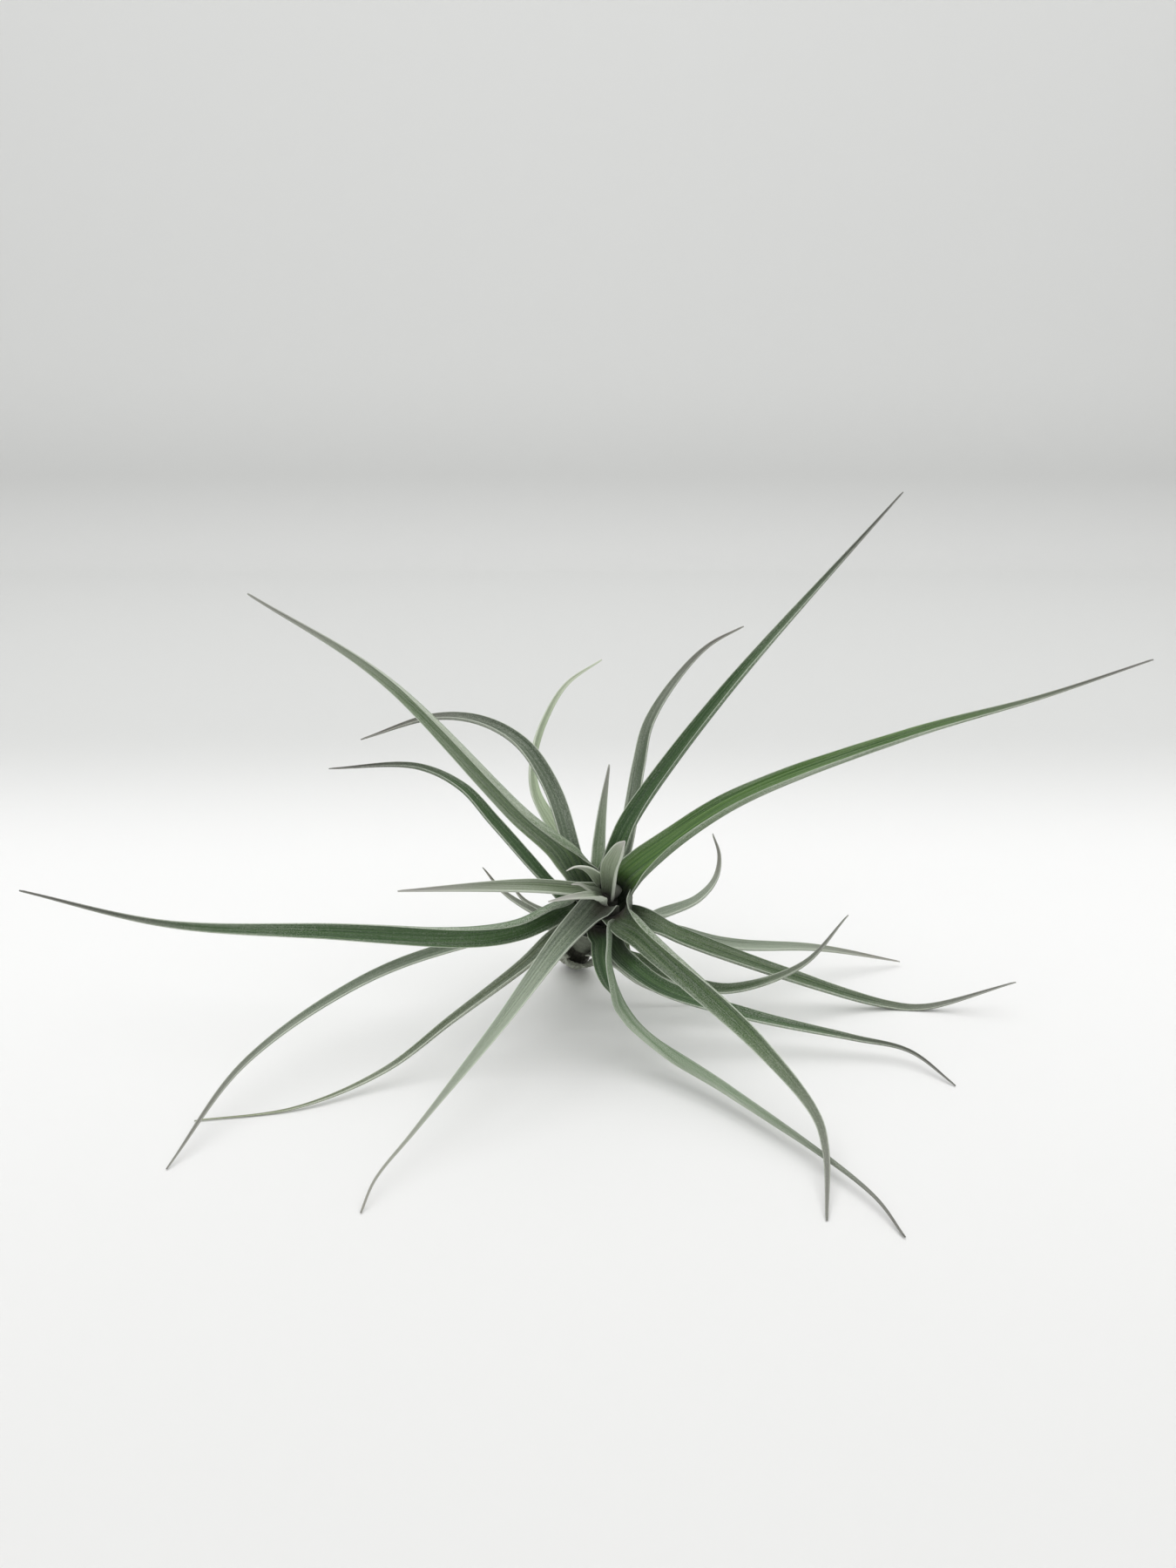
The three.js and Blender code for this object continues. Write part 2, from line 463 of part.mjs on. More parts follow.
// ---- building: each leaf is kept clear of the stem and of every younger leaf ------------------
const onTable = (solid) => solid.trimByPlane([0, 0, 1], 0);

const group = new THREE.Group();
group.name = "air_plant";
group.add(meshFrom("stem", onTable(stemSolid()), "stem"));

const occupied = [stemSolid(CLEARANCE)];
for (const leaf of LEAVES) {
  let solid = leafSolid(leaf);
  for (const taken of occupied) {
    if (solid.intersect(taken).volume() > 0) solid = largestBody(solid.subtract(taken));
  }
  solid = onTable(solid);
  occupied.push(leafSolid(leaf, CLEARANCE));
  group.add(meshFrom(leaf.name, solid, leaf.colour));
}

export default group;
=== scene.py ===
"""An air plant lying on a pale table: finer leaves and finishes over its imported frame.

Metres, +Z up, the table is z = 0 and the viewer stands at -Y. The middle lines of the leaves are
repeated here from the part's source, in millimetres, and a tree of geometry nodes carries a thin
channelled blade along each of them."""

import math

import bpy
import numpy as np
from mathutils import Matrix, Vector


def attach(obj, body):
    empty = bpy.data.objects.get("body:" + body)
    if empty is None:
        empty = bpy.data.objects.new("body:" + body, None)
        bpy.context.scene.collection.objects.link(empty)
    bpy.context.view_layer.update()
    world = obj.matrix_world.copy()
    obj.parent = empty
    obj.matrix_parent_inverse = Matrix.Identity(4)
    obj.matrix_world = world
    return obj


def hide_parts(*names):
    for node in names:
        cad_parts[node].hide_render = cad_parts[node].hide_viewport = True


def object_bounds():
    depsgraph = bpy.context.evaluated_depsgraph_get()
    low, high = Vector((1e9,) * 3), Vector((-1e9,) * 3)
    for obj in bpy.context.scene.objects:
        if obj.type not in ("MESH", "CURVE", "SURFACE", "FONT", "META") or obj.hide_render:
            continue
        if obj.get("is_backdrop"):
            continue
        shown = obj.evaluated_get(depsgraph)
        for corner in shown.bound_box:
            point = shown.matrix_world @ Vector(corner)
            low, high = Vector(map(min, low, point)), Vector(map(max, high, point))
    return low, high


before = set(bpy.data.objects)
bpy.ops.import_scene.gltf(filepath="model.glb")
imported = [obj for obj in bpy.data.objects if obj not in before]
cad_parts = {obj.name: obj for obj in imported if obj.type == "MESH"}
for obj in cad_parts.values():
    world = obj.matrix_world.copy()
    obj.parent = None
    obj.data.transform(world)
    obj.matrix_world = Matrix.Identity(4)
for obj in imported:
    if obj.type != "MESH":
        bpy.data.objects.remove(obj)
cad_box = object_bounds()

MM = 0.001

# ---- sizes, in millimetres and degrees, as in the part's source ----------------------------------
STEM_FOOT = np.array([-0.5, 1.9, 1.65])  # centre of the stem's cut end
CROWN = np.array([7, -28, 28.6])  # centre of the crown, where the youngest leaves rise
STEM_RADIUS = 2.6
STEM_TOP_RADIUS = 2
STEM_NARROWS_FROM = 0.8  # share of the stem's length
FOOT_FLARE = 0.6  # how much thicker the stem is at its cut end
FLARE_HEIGHT = 8
FIRST_SCAR = 2.9  # height of the lowest leaf scar up the stem
SCAR_SPACING = 3
SCAR_RELIEF = 0.35

SHEATH_SWELL = 1.1  # the sheath's width over the blade's
SHEATH_SLOPE = 20  # between the stem and a sheath that leaves it
YOUNG_SHEATH_SLOPE = 8
SHEATH_RISE = 5  # length of the sheath that follows that slope
SHEATH_RISE_SHARE = 0.45  # the most of the way to the sheath's mouth that it may take
SHEATH_SEAT = 0.75  # from the stem's skin to the middle of the sheath's thickness at its foot
SHEATH_FACES_STEM = 10  # length of the sheath that opens straight towards the stem
MOST_HUGGING = 170  # degrees of the stem that one sheath may clasp
CHANNEL_STARTS = 6  # the sheath's curl round the stem gives way to the blade's channel
CHANNEL_FORMED = 16  # between these distances from the leaf's foot
LEAST_FOLD = 14
MARGIN_CURL = 1.25  # how much tighter the channel is near the tip
TIGHTEST_CURL = 0.75  # the channel's smallest radius over the keel's thickness
ROLL_STARTS = 0.4  # share of the half width at which a rolled margin begins to bend in
ROLL_FADES = 0.35  # share of the leaf's length over which the roll opens again

# ---- sizes that are finer than the part's ----------------------------------------------------------
# The real blade is thinner than the solid that stands for it, above all at its margins and tip.
KEEL_THICKNESS = 0.75
MARGIN_THICKNESS = 0.26
TIP_THICKNESS = 0.22
THINS_FROM = 0.6  # share of the leaf's length
TIP_WIDTH = 0.34
LAST_WIDTH = 0.5  # share of the tip's width left at the very end
MARGIN_ROUNDING = 0.04  # how softly one face turns over into the other
FACE_SHARPNESS = 6  # how sharply one face's finish gives way to the other's there
STATION_SPACING = 1.0
LEAST_STATIONS = 12
SOFTENED_STATIONS = 7  # stations over which the taper is evened out
POINTS_ROUND_BLADE = 96

RIBS = 7.0
RIB_HEIGHT = 0.05
RIBS_FADE = (1.5, 4)  # blade widths: none below the first, full height from the second
MARGIN_WAVE = 0.3
WAVES_IN_A_METRE = 90
TORN_RIBS = 4.0
TORN_LENGTH = 1.6  # how far the torn end of a dried sheath reaches up and down
TEARS_ACROSS = 3
TEAR_LEVEL = 0.6  # noise over this level lengthens the end, noise below it shortens it
TEARS_FROM = 0.5  # share of the sheath's length

POINTS_ROUND_STEM = 96
STEM_STRETCHES = 240
SCAR_SLANT = 1.6  # how far a leaf scar's ring wanders from level
SCAR_BREADTH = 0.3  # from a ring's middle to its edge, as a share of the spacing
SCARS_FADE = (0.88, 0.82)  # shares of the stem's length: no ring above the first
SLANTS_IN_A_METRE = 60
FIBRE_RELIEF = 0.22
FIBRES_ROUND = 7
FIBRES_IN_A_METRE = 260
FIBRE_LEVEL = 0.6  # noise over this level raises the stem's skin, noise below it sinks it
CUT_EDGE_HEIGHT = 0.9  # the cut end's edge is worn round
CUT_EDGE_INSET = 0.5

# ---- the leaves, youngest first --------------------------------------------------------------------
# foot     distance up the stem at which the leaf is fixed
# around   where round the stem, in degrees: 0 is right, 90 is up, 180 is left, 270 is under
# width    of the blade laid flat, where it leaves the sheath
# fold     angle the blade's channel turns through from margin to margin
# full     how much of its width the blade keeps towards its tip: about 0 is slim, 1 and over is full
# roll     degrees that one margin rolls in beyond the channel, the left one if it is negative
# unroll   share of the length at which that margin is open again
# spindle  a young leaf, still narrow at its foot and broadest a third of the way up
# torn     a short papery rest of a sheath instead of a tapering leaf
# path     points along the blade's middle line, from the sheath's mouth to the tip
# opens    the way the channel opens: [share of the length, x, y, z]
LEAVES = [
    dict(name="leaf_crown_small_hooked", finish="young", foot=38.8, around=125, width=3, fold=100,
         spindle=True,
         path=[[5, -33, 35.5], [2.5, -37.5, 39.5], [0, -40.5, 41], [-1.5, -42.5, 41]],
         opens=[[0.6, 0.2, -0.7, -0.6], [1, 0, -0.5, -0.8]]),
    dict(name="leaf_crown_small_bud", finish="young", foot=38.6, around=185, width=2.2, fold=100,
         spindle=True,
         path=[[5.5, -32, 31.5], [3, -36, 34.5], [1, -39.5, 37], [-0.5, -42, 38]],
         opens=[[0.7, 0.2, -0.5, 0.8]]),
    dict(name="leaf_crown_young_upright", finish="young", foot=37.6, around=50, width=4.9, fold=110,
         spindle=True, roll=60, unroll=1.2,
         path=[[7.3, -31.8, 31.3], [7, -35.5, 36], [7.2, -40.5, 41], [8, -48, 46.3],
               [8.6, -58.5, 52.3], [9, -70, 57.5]],
         opens=[[0.15, -0.7, -0.6, -0.3], [0.4, -0.45, -0.6, -0.5], [1, -0.5, -0.5, -0.7]]),
    dict(name="leaf_crown_young_arched", finish="young", foot=37.8, around=245, width=3.9, fold=110,
         spindle=True,
         path=[[5.3, -34.2, 31.2], [4.6, -42.3, 35.5], [3.2, -49.5, 38.8], [-0.6, -55.2, 40.8],
               [-4.5, -60, 42]],
         opens=[[0.4, 0.2, -0.4, 0.9], [1, 0.2, -0.3, 0.9]]),
    dict(name="leaf_left_young", finish="young", foot=36.6, around=175, width=4.4, fold=120,
         spindle=True,
         path=[[4.6, -32.6, 32.6], [0.6, -36.2, 34.4], [-8, -48, 40], [-16, -55.5, 43],
               [-31, -67, 47]],
         opens=[[0.3, 0.2, -0.6, 0.8], [1, 0.3, -0.4, 0.9]]),
    dict(name="leaf_lower_left_broad", finish="silver", foot=35.8, around=234, width=7.6, fold=100,
         full=-0.3, roll=-50, unroll=0.6,
         path=[[5.6, -33.4, 30.6], [0.8, -38.2, 27.7], [-3, -43, 25.2], [-14.5, -62, 17],
               [-28.2, -80.5, 6.6], [-33.8, -90, 3.2], [-35.5, -95, 0.3]],
         opens=[[0.25, 0, -0.75, 0.65], [1, 0.2, -0.3, 0.9]]),
    dict(name="leaf_lower_right_broad", finish="green", foot=35.2, around=336, width=8.6, fold=105,
         full=0.15, roll=-75, unroll=0.6,
         path=[[8.6, -34.4, 28], [11.8, -39.3, 27.6], [15.5, -44.5, 26], [34.5, -66.5, 16],
               [43.5, -77.5, 8], [44.5, -83, 4.5], [42.5, -97, 0.3]],
         opens=[[0.25, -0.55, -0.8, 0.1], [0.6, -0.45, -0.65, 0.5], [1, 0, 0.1, 1]]),
    dict(name="leaf_right_bright_long", finish="bright", foot=34, around=38, width=8, fold=115,
         roll=75, unroll=0.9,
         path=[[11, -29, 34], [15, -28.8, 38], [32.5, -26, 49.8], [69, -19.5, 62.2],
               [99, -14, 69.3], [123, -9, 76]],
         opens=[[0.2, -0.6, -0.5, 0.6], [0.6, -0.2, -0.65, 0.75], [1, 0, -0.6, 0.8]]),
    dict(name="leaf_upper_left_broad", finish="green", foot=32, around=134, width=8.6, fold=115,
         full=0.1, roll=95, unroll=0.8,
         path=[[-1, -28.5, 38.5], [-11, -27.8, 47.5], [-39.3, -17.5, 73.5], [-69.5, -5.7, 89.5]],
         opens=[[0.25, -0.35, -0.85, -0.3], [0.7, -0.1, -0.9, 0], [1, 0, -0.9, 0.3]]),
    dict(name="leaf_upper_right_long", finish="dark", foot=28.5, around=76, width=6, fold=140,
         full=0.5, roll=40, unroll=0.8,
         path=[[9.3, -24, 40], [12, -22.8, 45.5], [30.3, -16.5, 69.5], [69.5, 1, 110]],
         opens=[[0.3, -0.55, -0.7, 0.3], [1, -0.5, -0.6, 0.5]]),
    dict(name="leaf_left_long", finish="dark", foot=27.5, around=184, width=7.6, fold=125,
         full=0.1, roll=85, unroll=0.5,
         path=[[0.5, -26.7, 27.8], [-5, -30.5, 26.8], [-11.5, -35.5, 25.7], [-21, -38.8, 25.5],
               [-49.5, -39, 26.5], [-85, -33, 25.5], [-117.5, -26, 30]],
         opens=[[0.2, -0.1, -0.95, -0.2], [0.4, 0, -0.9, 0.3], [1, 0.1, -0.7, 0.6]]),
    dict(name="leaf_lower_middle_table", finish="dark", foot=31.5, around=256, width=8, fold=140,
         full=0.1,
         path=[[5.9, -37.5, 25], [5.9, -41.5, 21], [7.4, -44, 16.5], [9.8, -44.5, 11.5],
               [13.8, -47, 7.5], [29.6, -62, 3.7], [51, -92, 1.8], [54.5, -101.5, 0.3]],
         opens=[[0.17, -0.8, -0.5, 0.2], [0.3, -0.9, 0.1, 0.05], [0.45, -0.7, 0.5, -0.5],
                [1, -0.3, 0.5, -0.8]]),
    dict(name="leaf_right_low_long", finish="green", foot=27.5, around=337, width=6, fold=125,
         full=0.9,
         path=[[14.5, -29, 24.5], [22.5, -30, 21], [45.5, -24, 9.5], [69, -21.7, 0.9],
               [77, -22.5, 0.7], [96, -24, 7.6]],
         opens=[[0.3, -0.2, -0.45, 0.9], [1, -0.4, -0.2, 0.9]]),
    dict(name="leaf_upper_left_arched", finish="silver", foot=25.5, around=114, width=5.4, fold=140,
         full=1.6,
         path=[[-0.5, -22, 36], [-5.3, -12, 48], [-12, -6, 56.5], [-21, -3.5, 61], [-31, -4, 62],
               [-46.5, -9.7, 58.5]],
         opens=[[0.3, 0.4, -0.7, 0.6], [0.6, 0.1, -0.35, 0.9], [1, -0.3, -0.3, 0.9]]),
    dict(name="leaf_lower_left_table", finish="olive", foot=25, around=210, width=4.6, fold=125,
         roll=-55, unroll=0.7,
         path=[[-4, -35, 23.5], [-10.5, -41.5, 20], [-24.5, -47, 11], [-37.2, -54, 3.6],
               [-53, -63, 0.7], [-71.5, -67, 0.3]],
         opens=[[0.3, 0.1, -0.4, 0.9], [1, 0, 0, 1]]),
    dict(name="leaf_right_low_pale", finish="silver", foot=22.5, around=345, width=4.6, fold=125,
         full=1.3,
         path=[[16.5, -23, 20.5], [33.5, -16, 13], [56, -6.5, 7.5], [76.5, -0.5, 1.2]],
         opens=[[0.3, -0.2, -0.45, 0.9], [1, -0.1, -0.3, 0.95]]),
    dict(name="leaf_left_narrow_high", finish="dark", foot=21.5, around=142, width=4, fold=135,
         full=1.6,
         path=[[-5.5, -18, 28], [-17.5, -12, 40], [-25, -9, 47.5], [-34.5, -8.5, 52],
               [-53, -13.5, 53.1]],
         opens=[[0.3, 0.3, -0.5, 0.8], [0.6, 0.1, -0.3, 1], [1, 0, -0.3, 1]]),
    dict(name="leaf_lower_right_table", finish="dark", foot=24, around=282, width=5.7, fold=120,
         full=0.6,
         path=[[11, -37.5, 18.5], [18, -40.5, 14.5], [36, -41.3, 8.7], [57, -43, 4.5], [68, -45.7, 3],
               [75.3, -54.5, 0.3]],
         opens=[[0.25, -0.1, -0.5, 0.85], [1, 0, -0.1, 1]]),
    dict(name="leaf_top_right_curved", finish="silver", foot=23, around=68, width=5.2, fold=130,
         full=1,
         path=[[10.5, -17.5, 36], [14, -6.5, 51.5], [16.3, -1.5, 60], [22.8, 2.5, 69.5],
               [29.4, 3.2, 76.4], [37, 3, 80.8]],
         opens=[[0.3, -0.5, -0.85, 0.2], [0.8, -0.5, -0.7, 0.5], [1, -0.4, -0.6, 0.7]]),
    dict(name="leaf_lower_left_back", finish="silver", foot=19, around=186, width=3.7, fold=130,
         full=1.1,
         path=[[-4, -21.5, 20.5], [-22, -27.5, 19], [-42.5, -41.5, 17], [-62.6, -61, 9.3],
               [-72, -82.5, 0.3]],
         opens=[[0.3, 0.1, -0.5, 0.9], [1, 0.1, -0.1, 1]]),
    dict(name="leaf_right_low_curled", finish="green", foot=19, around=303, width=4.8, fold=130,
         full=0.9,
         path=[[10.5, -24.5, 15.5], [16, -24, 11.5], [24.5, -25, 8], [33.5, -27, 7.5],
               [48.5, -28.5, 14], [57.9, -26.5, 24.6]],
         opens=[[0.3, -0.1, -0.4, 0.9], [1, -0.7, -0.3, 0.6]]),
    dict(name="leaf_top_short", finish="green", foot=18.5, around=92, width=4.6, fold=115,
         full=1.2,
         path=[[4.6, -15, 30.2], [5, -10.5, 34.4], [6, -5.5, 42], [7.5, -0.5, 50]],
         opens=[[0.5, 0.3, -0.9, 0.3]]),
    dict(name="leaf_top_pale_twisted", finish="pale", foot=14.5, around=108, width=5.4, fold=120,
         full=0.5,
         path=[[-1, -12.5, 32], [-9.3, -0.5, 43.5], [-9.7, 6, 50.5], [-7.2, 12, 57.4],
               [-2.4, 18, 64], [6, 24.5, 68.5]],
         opens=[[0.3, 0.3, -0.9, 0.2], [0.6, 0.8, -0.6, 0], [1, -0.3, -0.8, 0.5]]),
    dict(name="leaf_back_right_curled", finish="silver", foot=14.5, around=8, width=4.8, fold=125,
         full=1.1,
         path=[[14, -13, 17], [20, -7, 16.5], [28.5, 1.5, 16.5], [33.3, 8.5, 19], [34.4, 13, 23],
               [33, 17, 27]],
         opens=[[0.4, -0.2, -0.4, 0.9], [1, -0.8, -0.5, 0.3]]),
    dict(name="leaf_underneath_old", finish="old", foot=11.5, around=292, width=3.4, fold=110,
         path=[[8.5, -18, 9], [14, -19, 5], [20, -20, 2.6], [27, -20, 0.3]],
         opens=[[0.5, 0, -0.2, 1]]),
    dict(name="leaf_back_left_old", finish="old", foot=13, around=165, width=3.4, fold=110,
         full=0.9,
         path=[[-5, -14.5, 17.5], [-16, -10.5, 23], [-21, -7.7, 28]],
         opens=[[0.6, 0.4, -0.3, 0.85]]),
    dict(name="leaf_back_left_small_old", finish="old", foot=8.5, around=152, width=3.2, fold=110,
         full=0.9,
         path=[[-4, -9.5, 16], [-12, -5.8, 19.3], [-15.5, -3, 23]],
         opens=[[0.6, 0.4, -0.3, 0.85]]),
    dict(name="dry_sheath_left", finish="old", foot=2.2, around=190, width=4.6, fold=120, torn=True,
         path=[[-2.9, -8, 7.4], [-3.3, -9.8, 7.9]],
         opens=[[1, 0.8, 0.2, 0.6]]),
    dict(name="dry_sheath_under", finish="old", foot=3, around=240, width=4.6, fold=120, torn=True,
         path=[[-0.4, -8.5, 4.6], [-0.8, -10.5, 5.2]],
         opens=[[1, 0.3, 0, 1]]),
    dict(name="dry_sheath_right", finish="old", foot=3.6, around=295, width=4.6, fold=120, torn=True,
         path=[[3.4, -8, 4.3], [4, -10, 4.8]],
         opens=[[1, -0.3, 0, 1]]),
]

# Share of the blade's width left at each share of the leaf's length.
SLIM_TAPER = [(0, 0.72), (0.05, SHEATH_SWELL), (0.1, 1.06), (0.2, 0.9), (0.33, 0.7), (0.5, 0.5),
              (0.66, 0.32), (0.75, 0.21), (0.85, 0.13), (0.94, 0.08), (1, 0.05)]
FULL_TAPER = [(0, 0.72), (0.05, SHEATH_SWELL), (0.1, 1.03), (0.2, 0.95), (0.33, 0.9), (0.5, 0.78),
              (0.66, 0.57), (0.75, 0.45), (0.85, 0.31), (0.94, 0.17), (1, 0.06)]
SPINDLE_TAPER = [(0, 0.5), (0.06, 0.52), (0.15, 0.66), (0.3, 1), (0.45, 0.95), (0.6, 0.78),
                 (0.75, 0.54), (0.88, 0.3), (0.95, 0.17), (1, 0.08)]
TORN_TAPER = [(0, 0.8), (0.5, 1.1), (1, 0.75)]


# ---- node trees ------------------------------------------------------------------------------------
class Wire:
    """An output of a node, so that the trees' maths reads as arithmetic."""

    def __init__(self, board, socket):
        self.board = board
        self.socket = socket

    def __add__(self, other):
        return self.board.maths("ADD", self, other)

    def __sub__(self, other):
        return self.board.maths("SUBTRACT", self, other)

    def __rsub__(self, other):
        return self.board.maths("SUBTRACT", other, self)

    def __mul__(self, other):
        return self.board.maths("MULTIPLY", self, other)

    def __truediv__(self, other):
        return self.board.maths("DIVIDE", self, other)

    def __rtruediv__(self, other):
        return self.board.maths("DIVIDE", other, self)

    def __pow__(self, other):
        return self.board.maths("POWER", self, other)

    def __rpow__(self, other):
        return self.board.maths("POWER", other, self)

    __radd__ = __add__
    __rmul__ = __mul__

    def output(self, name):
        return Wire(self.board, self.socket.node.outputs[name])

    def is_vector(self):
        return self.socket.type in ("VECTOR", "RGBA")


class Board:
    """A node tree and the one way nodes are added to it: type, settings, sockets."""

    def __init__(self, tree):
        self.tree = tree

    def add(self, kind, settings=None, sockets=None, output=0):
        node = self.tree.nodes.new(kind)
        for name, value in (settings or {}).items():
            if name == "stops":
                self.set_stops(node.color_ramp, value)
            else:
                setattr(node, name, value)
        for name, value in (sockets or {}).items():
            self.plug(node.inputs[name], value)
        return Wire(self, node.outputs[output]) if node.outputs else node

    def set_stops(self, ramp, stops):
        while len(ramp.elements) < len(stops):
            ramp.elements.new(1)
        for element, (place, colour) in zip(ramp.elements, stops):
            element.position = place
            element.color = (*colour, 1)

    def plug(self, socket, value):
        if isinstance(value, Wire):
            self.tree.links.new(value.socket, socket)
        elif socket.type == "RGBA" and len(value) == 3:
            socket.default_value = (*value, 1)
        else:
            socket.default_value = value

    def maths(self, operation, *values):
        vectors = [isinstance(v, Wire) and v.is_vector() or isinstance(v, tuple) for v in values]
        if not any(vectors):
            return self.add("ShaderNodeMath", {"operation": operation}, dict(enumerate(values)))
        if operation == "MULTIPLY" and not all(vectors):
            vector, number = values if vectors[0] else values[::-1]
            sockets = {"Vector": vector, "Scale": number}
            return self.add("ShaderNodeVectorMath", {"operation": "SCALE"}, sockets)
        return self.add("ShaderNodeVectorMath", {"operation": operation}, dict(enumerate(values)))

    def sine(self, angle):
        return self.maths("SINE", angle)

    def cosine(self, angle):
        return self.maths("COSINE", angle)

    def vector(self, x, y, z):
        return self.add("ShaderNodeCombineXYZ", None, {"X": x, "Y": y, "Z": z})

    def split(self, vector):
        return self.add("ShaderNodeSeparateXYZ", None, {0: vector})

    def step(self, value, start, end):
        """Runs softly from 0 at the start to 1 at the end, which may be the smaller of the two."""
        sockets = {"Value": value, "From Min": start, "From Max": end}
        return self.add("ShaderNodeMapRange", {"interpolation_type": "SMOOTHSTEP"}, sockets)

    def clamp(self, value, low, high):
        return self.add("ShaderNodeClamp", None, {"Value": value, "Min": low, "Max": high})

    def noise(self, vector, detail, roughness=0.5, scale=1.0):
        sockets = {"Vector": vector, "Scale": scale, "Detail": detail, "Roughness": roughness}
        return self.add("ShaderNodeTexNoise", None, sockets)


# ---- parts that both trees of geometry nodes share ---------------------------------------------------
def new_tree(name, sizes):
    """A tree that takes a mesh, the named sizes and a material, and the board to build it on."""
    tree = bpy.data.node_groups.new(name, "GeometryNodeTree")
    tree.interface.new_socket("Geometry", in_out="OUTPUT", socket_type="NodeSocketGeometry")
    tree.interface.new_socket("Geometry", in_out="INPUT", socket_type="NodeSocketGeometry")
    for title, value in sizes.items():
        kind = "NodeSocketInt" if isinstance(value, int) else "NodeSocketFloat"
        item = tree.interface.new_socket(title, in_out="INPUT", socket_type=kind)
        item.default_value = value
    tree.interface.new_socket("Material", in_out="INPUT", socket_type="NodeSocketMaterial")
    board = Board(tree)
    return tree, board, board.add("NodeGroupInput")


def unit_tube(board, points_round, stretches):
    """A closed tube of radius 1, with each point's X, Y and share of the tube's length."""
    tube = board.add("GeometryNodeMeshCylinder", None,
                     {"Vertices": points_round, "Side Segments": stretches,
                      "Radius": 1.0, "Depth": 1.0})
    place = board.split(board.add("GeometryNodeInputPosition"))
    return tube, place.output("X"), place.output("Y"), place.output("Z") + 0.5


def finish_tree(board, given, tube, point, attributes):
    """Stores the attributes, moves the points, none below the table, and sets the material."""
    geometry = tube
    for name, value in attributes.items():
        geometry = board.add("GeometryNodeStoreNamedAttribute",
                             {"data_type": "FLOAT", "domain": "POINT"},
                             {"Geometry": geometry, "Name": name, "Value": value})
    place = board.split(point)
    resting = board.vector(place.output("X"), place.output("Y"),
                           board.maths("MAXIMUM", place.output("Z"), 0.0))
    geometry = board.add("GeometryNodeSetPosition", None, {"Geometry": geometry, "Position": resting})
    geometry = board.add("GeometryNodeSetShadeSmooth", None, {"Geometry": geometry})
    geometry = board.add("GeometryNodeRealizeInstances", None, {"Geometry": geometry})
    geometry = board.add("GeometryNodeSetMaterial", None,
                         {"Geometry": geometry, "Material": given.output("Material")})
    board.add("NodeGroupOutput", None, {"Geometry": geometry})


def grown(name, start, tree, values):
    """A plain mesh object made by a tree of geometry nodes from a starting mesh."""
    seedling = bpy.data.objects.new(name + "_start", start)
    bpy.context.scene.collection.objects.link(seedling)
    modifier = seedling.modifiers.new("grow", "NODES")
    modifier.node_group = tree
    for item in tree.interface.items_tree:
        if item.item_type == "SOCKET" and item.in_out == "INPUT" and item.name in values:
            modifier[item.identifier] = values[item.name]
    ready = seedling.evaluated_get(bpy.context.evaluated_depsgraph_get())
    mesh = bpy.data.meshes.new_from_object(ready)
    seedling.modifiers.clear()
    bpy.data.objects.remove(seedling)
    mesh.name = name
    piece = bpy.data.objects.new(name, mesh)
    bpy.context.scene.collection.objects.link(piece)
    return piece


# ---- the tree that carries a blade along a leaf's middle line ----------------------------------------
def read_rail(board, rail, station, kind, names):
    """The rail's attributes of one kind at a station, a wire for each name."""
    wires = []
    for name in names:
        value = board.add("GeometryNodeInputNamedAttribute", {"data_type": kind}, {"Name": name})
        wires.append(board.add("GeometryNodeSampleIndex", {"data_type": kind, "domain": "POINT"},
                               {"Geometry": rail, "Value": value, "Index": station}))
    return wires


def section_arc(board, across, half, bend, rolled_bend, side):
    """How far a point of the section lies to the side and over the keel, and its angle there.

    The section is a plain arc, which bends in more tightly towards the rolled margin."""
    reach = across * side
    beyond = board.maths("MAXIMUM", reach - ROLL_STARTS, 0.0)
    start = bend * ROLL_STARTS
    plain = bend * board.maths("MINIMUM", reach, ROLL_STARTS)
    end = start + rolled_bend * beyond
    rolled_across = (board.sine(end) - board.sine(start)) / rolled_bend
    rolled_inward = (board.cosine(start) - board.cosine(end)) / rolled_bend
    to_side = (board.sine(plain) / bend + rolled_across) * side * half
    inward = ((1 - board.cosine(plain)) / bend + rolled_inward) * half
    return to_side, inward, (plain + rolled_bend * beyond) * side


